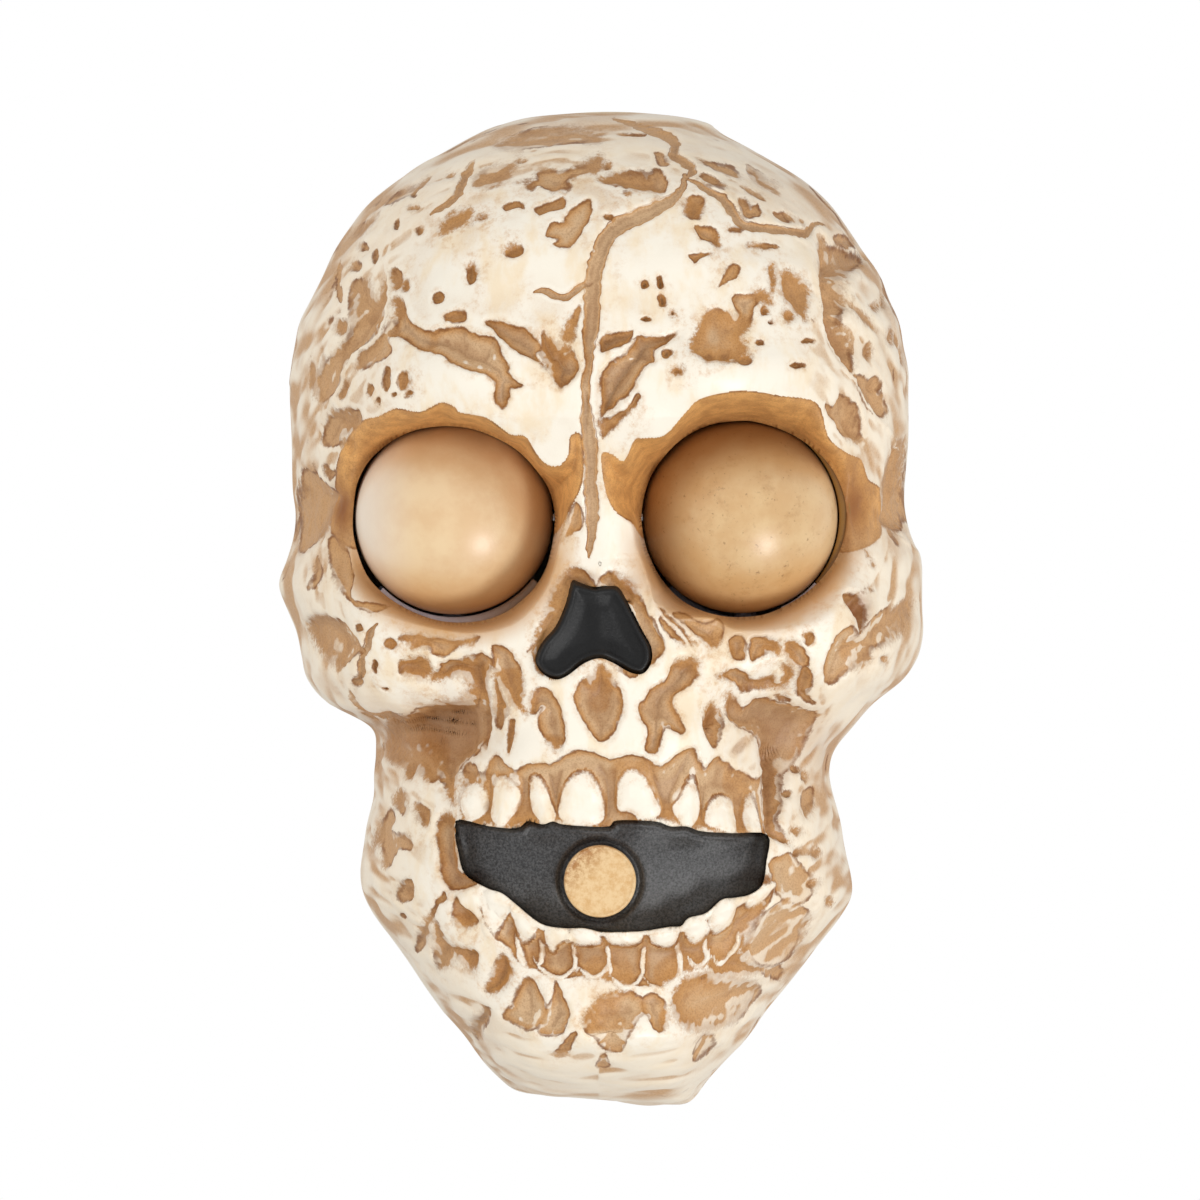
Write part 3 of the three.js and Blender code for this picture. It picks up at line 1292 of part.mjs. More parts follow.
function buttonLead() {
  const depth = boardFace - BUTTON_BOARD.thick + LEAD_END_GAP;
  const start = [BUTTON_X + BUTTON_LEAD_OUT.across, depth, BUTTON_Z + BUTTON_LEAD_OUT.up];
  return lead(BUTTON_LEAD, start, underBoard(BOARD_LEAD_SPOTS.button));
}

// Every piece with its material

const bone = { color: "#efe2ca", roughness: 0.45, metalness: 0 };
const tan = { color: "#d6b283", roughness: 0.4, metalness: 0 };
const black = { color: "#202021", roughness: 0.35, metalness: 0 };
const pale = { color: "#bdb8c4", roughness: 0.5, metalness: 0 };
const coverTan = { color: "#b49a76", roughness: 0.6, metalness: 0 };
const steel = { color: "#c3c5c8", roughness: 0.3, metalness: 1 };
const brass = { color: "#c9a24e", roughness: 0.3, metalness: 1 };
const green = { color: "#2d6b43", roughness: 0.5, metalness: 0 };
const white = { color: "#f3efe6", roughness: 0.2, metalness: 0 };
const amber = { color: "#8a4b1c", roughness: 0.15, metalness: 0 };
const gearWhite = { color: "#e6e2d6", roughness: 0.5, metalness: 0 };
const paper = { color: "#2b2a28", roughness: 0.9, metalness: 0 };
const copperLabel = { color: "#3c6ea5", roughness: 0.4, metalness: 0 };
const red = { color: "#a33227", roughness: 0.5, metalness: 0 };

const group = new THREE.Group();
group.name = "skull_doorbell";

function place(name, solid, material) {
  const mesh = new THREE.Mesh(geometryOf(solid), new THREE.MeshStandardMaterial(material));
  mesh.name = name;
  group.add(mesh);
}

function placeEach(name, solids, material) {
  solids.forEach((solid, i) => place(`${name}_${i + 1}`, solid, material));
}

place("skull_shell", skullShell(), bone);
place("nose_insert", noseInsert(), black);
place("mouth_insert", mouthInsert(), black);
place("rear_cover", rearCover(), coverTan);
placeEach(
  "case_screw",
  CASE_SCREWS.map((at) => screw(at, CASE_SCREW_SUNK - SCREW.seatGap, 1, CASE_SCREW_LONG)),
  steel,
);

place("left_eyelid", eyelid(-1), tan);
place("right_eyelid", eyelid(1), tan);
place("lid_axle", lidAxle(), steel);
place("lid_gear", gear(LID_TEETH, EYE_Z, 90, GEAR_RIGHT, AXLE_RADIUS + SCREW.seatGap), gearWhite);
place("idler_gear", idlerGear(), gearWhite);
const plateOut = BEARING_INNER + BEARING_THICK;
place("idler_pin", rod("x", PIN_RADIUS, [-plateOut, plateOut], EYE_DEPTH, IDLER_Z), steel);
const pinionBore = MOTOR.shaft + SCREW.seatGap;
place("motor_pinion", gear(PINION_TEETH, MOTOR_Z, gapBelow(PINION_TEETH), GEAR_LEFT, pinionBore), brass);
place("lid_motor", lidMotor(), steel);
place("left_eyeball", eyeball(-1), white);
place("right_eyeball", eyeball(1), white);
place("left_iris", iris(-1), amber);
place("right_iris", iris(1), amber);
place("eye_chassis", eyeChassis(), pale);
const chassisSeat = CHASSIS_FRONT + SCREW.seatGap;
placeEach(
  "chassis_screw",
  CHASSIS_SCREWS.map((at) => screw(at, chassisSeat, -1, CHASSIS_SCREW_LONG)),
  steel,
);

place("button_cap", buttonCap(), tan);
place("button_spring", buttonSpring(), steel);
place("button_board", buttonBoard(), green);
place("button_switch", buttonSwitch(), black);
const buttonSeat = boardFace - BUTTON_BOARD.thick - SCREW.seatGap;
placeEach(
  "button_screw",
  [-BUTTON_BOSS_X, BUTTON_BOSS_X].map((x) => screw([BUTTON_X + x, BUTTON_Z], buttonSeat, 1, BUTTON_SCREW_LONG)),
  steel,
);

place("battery_door", batteryDoor(), coverTan);
place("door_screw", screw(doorScrewPlace, DOOR.lift + DOOR_SCREW.headHigh, 1, DOOR_SCREW.long, DOOR_SCREW), steel);
placeEach("battery", [0, 1, 2].map(cell), copperLabel);
place("positive_contact", contact(1, [0]), steel);
place("negative_contact", contact(-1, [2]), steel);
place("left_bridge_contact", contact(-1, [0, 1]), steel);
place("right_bridge_contact", contact(1, [1, 2]), steel);
place("power_switch_body", switchBody(), black);
place("power_switch_knob", switchKnob(), black);

place("main_board", mainBoard(), green);
place("board_chip", chip(), black);
place("board_capacitor", capacitor(), black);
placeEach(
  "board_screw",
  BOARD_SCREWS.map((at) => screw(at, boardFront + SCREW.seatGap, -1, BOARD_SCREW_LONG)),
  steel,
);
place("speaker_frame", speakerFrame(), steel);
place("speaker_cone", speakerCone(), paper);
const earSeat = speakerBack + SPEAKER_DEPTHS.rimThick + SCREW.seatGap;
placeEach(
  "speaker_screw",
  speakerScrewPlaces.map((at) => screw(at, earSeat, -1, SPEAKER_SCREW_LONG)),
  steel,
);
place("battery_lead", batteryLead(), red);
place("speaker_lead", speakerLead(), red);
place("motor_lead", motorLead(), red);
place("button_lead", buttonLead(), red);

export default group;
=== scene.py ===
import functools
import itertools
import math

import bpy
import numpy as np
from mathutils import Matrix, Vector


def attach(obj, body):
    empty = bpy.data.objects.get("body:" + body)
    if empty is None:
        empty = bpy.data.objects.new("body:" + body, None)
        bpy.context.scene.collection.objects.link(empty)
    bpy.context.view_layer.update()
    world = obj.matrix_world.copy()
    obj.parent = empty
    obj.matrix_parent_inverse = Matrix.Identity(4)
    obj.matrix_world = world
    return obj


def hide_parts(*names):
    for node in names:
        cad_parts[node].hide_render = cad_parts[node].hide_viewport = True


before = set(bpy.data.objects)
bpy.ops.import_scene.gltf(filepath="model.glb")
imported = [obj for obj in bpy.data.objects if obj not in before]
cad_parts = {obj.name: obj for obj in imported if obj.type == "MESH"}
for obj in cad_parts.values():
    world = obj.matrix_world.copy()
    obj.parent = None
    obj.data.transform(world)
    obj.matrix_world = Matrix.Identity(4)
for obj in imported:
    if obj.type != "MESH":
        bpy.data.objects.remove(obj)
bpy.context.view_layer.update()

# The photograph's scale, and the pixel where X = 0 and Z = 0
MM = 0.001
PIXEL = 0.00022
MIDDLE_ACROSS = 600
MIDDLE_DOWN = 609
FRAME_PIXELS = 1200

# Bone this near to an opening's line, in pixels, is drawn to it
EDGE_SNAP = 2.2
# What is smaller than this counts as nothing
TINY = 1e-12
# Points set between two corners of a line that is rounded
LINE_STEPS = 4
# Cells of noise before it repeats
NOISE_CELLS = 32

# Overall sizes
SKULL_DEPTH = 0.074
HALF_HEIGHT = 0.110
HALF_WIDTH = 0.0713
RIM_THICK = 0.0026
RIM_TALL = 0.008
POLE_Z = 0.0099
ROUNDING_POWER = 3.2
CROWN_POWER = 5
CHIN_POWER = 14

# The skull's mesh is rings round a pole. Its outer ring is smoothed: steps round, blur and its reach in steps
RINGS = 400
ROUND = 1200
REACH_STEPS = 3600
REACH_BLUR = 7
REACH_SPREAD = 24

# The front view's outline in pixels: down, left edge, right edge
OUTLINE = [
    (109, 572, 648),
    (113, 530, 684),
    (120, 502, 712),
    (128, 480, 720),
    (152, 436, 764),
    (176, 397, 804),
    (200, 367, 831),
    (224, 348, 849),
    (248, 332, 865),
    (272, 321, 882),
    (296, 309, 891),
    (320, 297, 902),
    (344, 292, 906),
    (368, 288, 911),
    (392, 287, 911),
    (440, 289, 911),
    (488, 290, 907),
    (512, 293, 908),
    (536, 291, 914),
    (560, 284, 924),
    (584, 276, 925),
    (608, 284, 925),
    (632, 294, 926),
    (656, 299, 921),
    (680, 305, 906),
    (704, 326, 876),
    (728, 369, 855),
    (752, 374, 836),
    (776, 372, 831),
    (800, 372, 836),
    (824, 365, 843),
    (848, 362, 846),
    (872, 358, 852),
    (896, 361, 855),
    (920, 374, 842),
    (944, 392, 823),
    (968, 409, 805),
    (992, 425, 786),
    (1016, 443, 766),
    (1040, 464, 750),
    (1064, 481, 727),
    (1088, 505, 705),
    (1097, 522, 700),
    (1104, 600, 695),
    (1109, 660, 690),
]
# The middle line seen from the side: share of half the height, share of the depth
PROFILE_SHARES = [
    (-1, 0.72),
    (-0.85, 0.79),
    (-0.7, 0.775),
    (-0.5, 0.79),
    (-0.3, 0.825),
    (0, 0.815),
    (0.1, 0.79),
    (0.24, 0.83),
    (0.38, 0.925),
    (0.5, 0.96),
    (0.7, 0.985),
    (1, 1),
]
# Raised and hollow forms: across, up, their two reaches (shares of half the width) and their rise
RELIEF_SHARES = [
    (0.4, 0.44, 0.3, 0.13, 0.06),
    (0.05, 0.4, 0.16, 0.14, 0.03),
    (0.86, 0.5, 0.13, 0.4, -0.045),
    (0.78, -0.02, 0.2, 0.13, 0.09),
    (0.5, -0.25, 0.15, 0.13, -0.1),
    (0, 0, 0.2, 0.3, 0.035),
    (0.16, -0.32, 0.3, 0.16, 0.03),
    (0, -0.84, 0.3, 0.14, 0.035),
    (0.3, -0.72, 0.2, 0.1, -0.02),
    (0.447, 0.468, 0.3, 0.055, 0.03),
    (0.77, 0.6, 0.105, 0.13, -0.03),
    (0, 0.18, 0.07, 0.14, 0.02),
    (0.82, -0.062, 0.14, 0.09, 0.03),
    (0.55, -0.258, 0.15, 0.09, -0.05),
    (0, -0.062, 0.25, 0.08, 0.032),
    (0, -0.242, 0.34, 0.07, 0.022),
    (0.617, -0.52, 0.13, 0.16, 0.016),
    (0, -0.752, 0.43, 0.05, -0.019),
    (0, -0.872, 0.31, 0.055, 0.03),
]

# Eyes
EYE_Z = 0.020196
EYE_DEPTH = 0.036
HOLE_DEPTH = 0.0405
HOLE_WALL = 0.003
# Each lid's middle and radius in pixels: across, down and radius
LIDS = {"left": (454, 517.2, 99.3), "right": (740.5, 517.2, 98)}
LID_GAP = 0.0006
# The edges of the holes that the lids look out of, in pixels
HOLES = {
    "left": [(354.5, 500), (358, 482), (367.5, 463.5), (381.5, 449), (398, 438), (416, 430.5), (437, 427),
             (455, 427), (474, 430), (492, 436.5), (510.5, 446), (524.5, 457), (538, 472.5), (548, 487.5),
             (553.5, 505), (555, 519), (553, 541), (546.5, 567), (534.5, 588), (520, 602), (506, 612),
             (485, 620), (460, 622.5), (439, 620.5), (418.5, 614), (400, 605), (382, 592), (367, 575),
             (357.5, 551), (353, 528)],
    "right": [(740.7, 421), (708.6, 425.5), (681, 440), (660, 462), (648, 483), (642, 508.5), (642, 527),
              (647, 550), (659, 575.5), (677.5, 597), (698.5, 609.5), (722, 616), (740.7, 617),
              (763.7, 614.5), (786.6, 605), (811.9, 588), (832.5, 564.5), (842.9, 541), (846.3, 518),
              (844, 497), (834.8, 474), (821, 455.8), (800.4, 439.7), (779.7, 429.4), (759, 423)],
}
LID_WALL = 0.0015
LID_LOW = math.radians(-78)
LID_HIGH = math.radians(100)
# A lid's mesh has so many lines each way and stops this angle short of its axle
LID_STEPS = 121
LID_END = 0.02
EYEBALL_RADIUS = 0.0196
BALL_STEPS = 60
BALL_END = 0.01
IRIS_RADIUS = 0.0077
IRIS_STEPS = 16
IRIS_EDGE = 0.97
IRIS_THICK = 0.0012
# The ball is flat under the iris, a little inside its radius and below its edge
SEAT_SHARE = 0.98
SEAT_DEEP = 0.0002
# Radius of a turned piece where it closes on its line
POINT = 0.00001
# The chassis strips that show beside the lids: gap to the lid, width, depths, edge roundness and steps
ARC_GAP = 0.00012
ARC_WIDE = 0.0026
ARC_BACK = 0.0372
ARC_FRONT = 0.0402
ARC_ROUND = 0.0002
ARC_STEPS = 80

# The sockets' edges, round each eye, in pixels
SOCKET_EDGES = {
    "left": [(333, 492), (337, 462), (345, 440), (361, 422), (379, 417), (398, 409), (421, 413), (441, 404),
             (455, 408), (462, 414), (485, 418), (499, 426), (512, 435), (526, 437), (535, 451), (545, 463),
             (558, 466), (568, 456), (570, 438), (581, 436), (584, 470), (580, 492), (570, 510), (562, 535),
             (556, 565), (545, 592), (524, 618), (500, 630), (470, 634), (440, 630), (405, 622), (370, 610),
             (345, 590), (330, 560), (325, 530), (328, 508)],
    "right": [(601, 456), (612, 455), (624, 462), (634, 441), (645, 439), (665, 436), (684, 415),
              (700, 400), (740, 392), (780, 397), (816, 404), (828, 437), (847, 453), (863, 460),
              (869, 479), (882, 488), (884, 507), (889, 545), (877, 578), (863, 590), (851, 592),
              (840, 611), (816, 625), (769, 631), (733, 630), (712, 618), (681, 618), (665, 613),
              (651, 600), (648, 588), (641, 564), (634, 545), (631, 526), (622, 519), (611, 507),
              (604, 486)],
}

# The nose and mouth openings, in pixels
NOSE_EDGE = [(572, 582), (579, 583), (594, 587), (604, 586), (617, 587), (624, 596), (633, 612), (642, 629),
             (651, 647), (651, 662), (643, 673), (630, 672), (612, 662), (599, 658), (584, 663), (568, 675),
             (556, 679), (543, 673), (536, 660), (543, 642), (556, 626), (566, 603)]
MOUTH_EDGE = [(456, 820), (489, 825), (517, 827), (528, 820), (543, 823), (553, 820), (563, 823),
              (589, 825), (609, 825), (617, 819), (655, 820), (670, 825), (686, 825), (701, 830),
              (732, 832), (767, 834), (766, 861), (762, 884), (749, 894), (734, 897), (721, 899),
              (706, 912), (688, 917), (681, 925), (668, 926), (642, 930), (604, 931), (584, 927),
              (563, 927), (540, 922), (515, 902), (502, 892), (487, 887), (466, 874), (459, 853)]

# The inserts are plates: thickness, mesh step, and how far they reach past their openings in pixels
INSERT_THICK = 0.002
INSERT_STEP = 0.0004
NOSE_MARGIN = 5
MOUTH_MARGIN = 8
# Their faces have a raised rim so many pixels in, a dip at the opening's edge and a fall behind the bone
INSERT_RIM = 0.0006
INSERT_RIM_IN = 5
NOSE_RIM_WIDE = 2.6
MOUTH_RIM_WIDE = 3
INSERT_DIP = 0.0008
INSERT_DIP_IN = 4
NOSE_FALL = 0.005
MOUTH_FALL = 0.004
FALL_PIXELS = (0.5, -3)
# How far behind the inserts' faces the bone's walls reach
NOSE_WALL = 0.002
MOUTH_WALL = 0.003

# The nose insert has a leaning ridge down its middle and a shallow bowl
NOSE_DEPTH = 0.0622
RIDGE_TALL = 0.0011
RIDGE_ACROSS = 600
RIDGE_DOWN = 620
RIDGE_LEAN = 0.1
RIDGE_WIDE = 11
RIDGE_START = (590, 615)
NOSE_BOWL = 0.0009
NOSE_BOWL_PIXELS = (6, 22)

# The mouth insert curves back below a line, swells beside the button and dips in a ring round it
MOUTH_DEPTH = 0.053
MOUTH_RADIUS = 0.075
MOUTH_TOP = 838
MOUTH_TUCK = 0.045
MOUTH_SWELL = 0.0007
SWELL_ACROSS = 634
SWELL_WIDE = 26
BUTTON_RING = 39
RING_DEEP = 0.0016
RING_WIDE = 3.5
# Its rim fades out below, and faint waves run in from its edge: height, lengths and reach in pixels
RIM_FADE = (880, 840)
WAVE_TALL = 0.0005
WAVE_ACROSS = 11
WAVE_DOWN = 9
WAVE_REACH = (26, 4)

# The button's height above the middle, and its section: radius and depth in millimetres, front to back
BUTTON_Z = -0.059598
BUTTON_SECTION = [(0.01, 56.5), (4, 56.48), (6.7, 56.4), (7.1, 56.4), (7.3, 56.62), (7.6, 56.55), (7.8, 56.3),
                  (7.9, 55.8), (7.9, 45.5), (9.8, 45.5), (9.8, 44), (2.2, 44), (2.2, 42.5), (0.01, 42.5)]

# Marks

# The marks' edges wander by pixels, over lengths in metres
WANDER = 5
WANDER_SIZE = 0.0045
WANDER_SEEDS = (1, 5)
JITTER = 2.4
JITTER_SIZE = 0.0011
JITTER_SEEDS = 3
# The wash climbs to 1 in so many pixels, slower where it is soft, and small hollows are browner
WASH_PIXELS = 10
SOFT_TIMES = 4
SOFT_LIP = 1.5
SMALL_PIXELS = 34
# Marks reach so many pixels past their corners
MARK_MARGIN = 14
LINE_MARGIN = 10
PIT_MARGIN = 2
# A hollow drops by a step at its edge and a bowl inside it, as shares of its depth
CARVE_TIMES = 1.8
STEP_SHARE = 0.6
BOWL_SHARE = 0.9
BOWL_PIXELS = 22
# A pit is an oval with so many corners
PIT_CORNERS = 10
PIT_DEEP = 0.0005
PIT_LIP = 2.5
# Grooves and ridges narrow towards their ends, and a groove isn't closed at its very end
TAPER_TIMES = 4
GROOVE_END = 0.05
GROOVE_SIDES = (1.35, 0.35)
RIDGE_CLEAN = 0.8
# The wash in a groove's middle is as pale as this many times deeper in
GROOVE_PALER = 3.2
# A tooth reaches into the gum by its root, and its cream crown fades softly over a share of its height
ROOT_TIMES = 1.4
ROOT_SHARE = 0.36
CROWN_SHARE = 0.5
CROWN_SOFT = 2.5
CROWN_MARGIN = 3
# A tooth's edge starts this share of its roundness outside its line and is full in this many of it
TOOTH_OUT = 0.4
TOOTH_LIPS = 2.2
# The sockets' floors climb to the bone by this power and stay so far under it
SOCKET_POWER = 1.7
SOCKET_UNDER = 0.002
SOCKET_EDGE = 3
# Their lower sides are greyer, with painted shade by the hole, and fade out softly: over these shares of the
# way down from the eye's middle
SOCKET_SOFT = (-0.1, 0.55)
SOCKET_FADE = 34
SOCKET_FADE_SHARE = 0.95
# The marks start and the recesses deepen with the bone's depth, over these shares of the skull's depth
MARKS_START = (0.01, 0.12)
RECESSES_START = (0.25, 0.6)
# The recesses are found by blurring the depths over these lengths
RECESS_STEP = 0.00025
RECESS_SIZES = {"fine": (0.0006, 0.0012), "broad": (0.0022, 0.005)}
RECESS_SLOPE = 0.2
# A place in a grid stays this far from the end of its rows
GRID_END = 1.001

# Noises of the bone: the grains' size in metres, seed and layers
CHIPS = (0.0085, 11, 3)
SMALL_CHIPS = (0.0032, 21, 2)
STREAKS = (1, 31, 2)
SOFT_PATCHES = (0.010, 41, 2)
UNEVENNESS = (0.010, 51, 2)
SMUDGES = (0.011, 61, 3)
NOISE_MIDDLE = 0.5
# The chips come where their noise is above a level, fewer on the sides, and grow by so much wash
CHIP_LEVEL = 0.6
CHIP_TIMES = 5
SMALL_CHIP_TIMES = 1.2
CHIPS_ON_SIDE = 0.3
CHIP_WASH = 0.3
CHIP_DEEP = 0.0003
CHIP_SIDES = (-0.3, 0.6)
# Bone is a side between these shares of facing the front, and has streaks: length, thickness and depth
SIDE_FACING = (0.78, 0.42)
STREAK_LONG = 0.012
STREAK_THICK = 0.0021
STREAK_TIMES = 4
STREAK_DEEP = 0.0005
STREAK_SIDES = (-1, 1)
STREAK_SMEAR = (-0.5, 0.9)
SMUDGE_LEVELS = (0.48, 0.72)
SMUDGE_SHARE = 0.55
SOFT_LEVELS = (0.5, 0.64)
SOFT_ON_SIDE = 0.1
UNEVEN = 0.0010
# Places painted with shade, in hollows and corners where shadow falls: across, down, their reaches in pixels
# and how dark
SHADE_SPOTS = [
    (342, 510, 12, 26, 0.95),
    (372, 448, 14, 10, 0.3),
    (854, 505, 15, 34, 0.9),
    (845, 540, 12, 16, 0.5),
    (863, 610, 8, 14, 0.9),
    (452, 728, 18, 26, 0.4),
    (402, 735, 26, 14, 0.35),
    (425, 738, 56, 24, 0.42),
    (775, 738, 22, 16, 0.35),
    (795, 742, 46, 26, 0.32),
    (585, 578, 16, 6, 0.5),
    (629, 586, 10, 10, 0.5),
    (452, 868, 12, 22, 0.3),
]

# Enlarged views of the photograph that the marks below were placed in: left, top and scale
FOREHEAD_LEFT = (250, 90, 4.48)
FOREHEAD_RIGHT = (600, 90, 4.48)
EYE_LEFT = (260, 380, 4.356)
EYE_RIGHT = (580, 380, 4.238)
MOUTH_VIEW = (400, 560, 3.92)
JAW_VIEW = (340, 720, 3.0154)

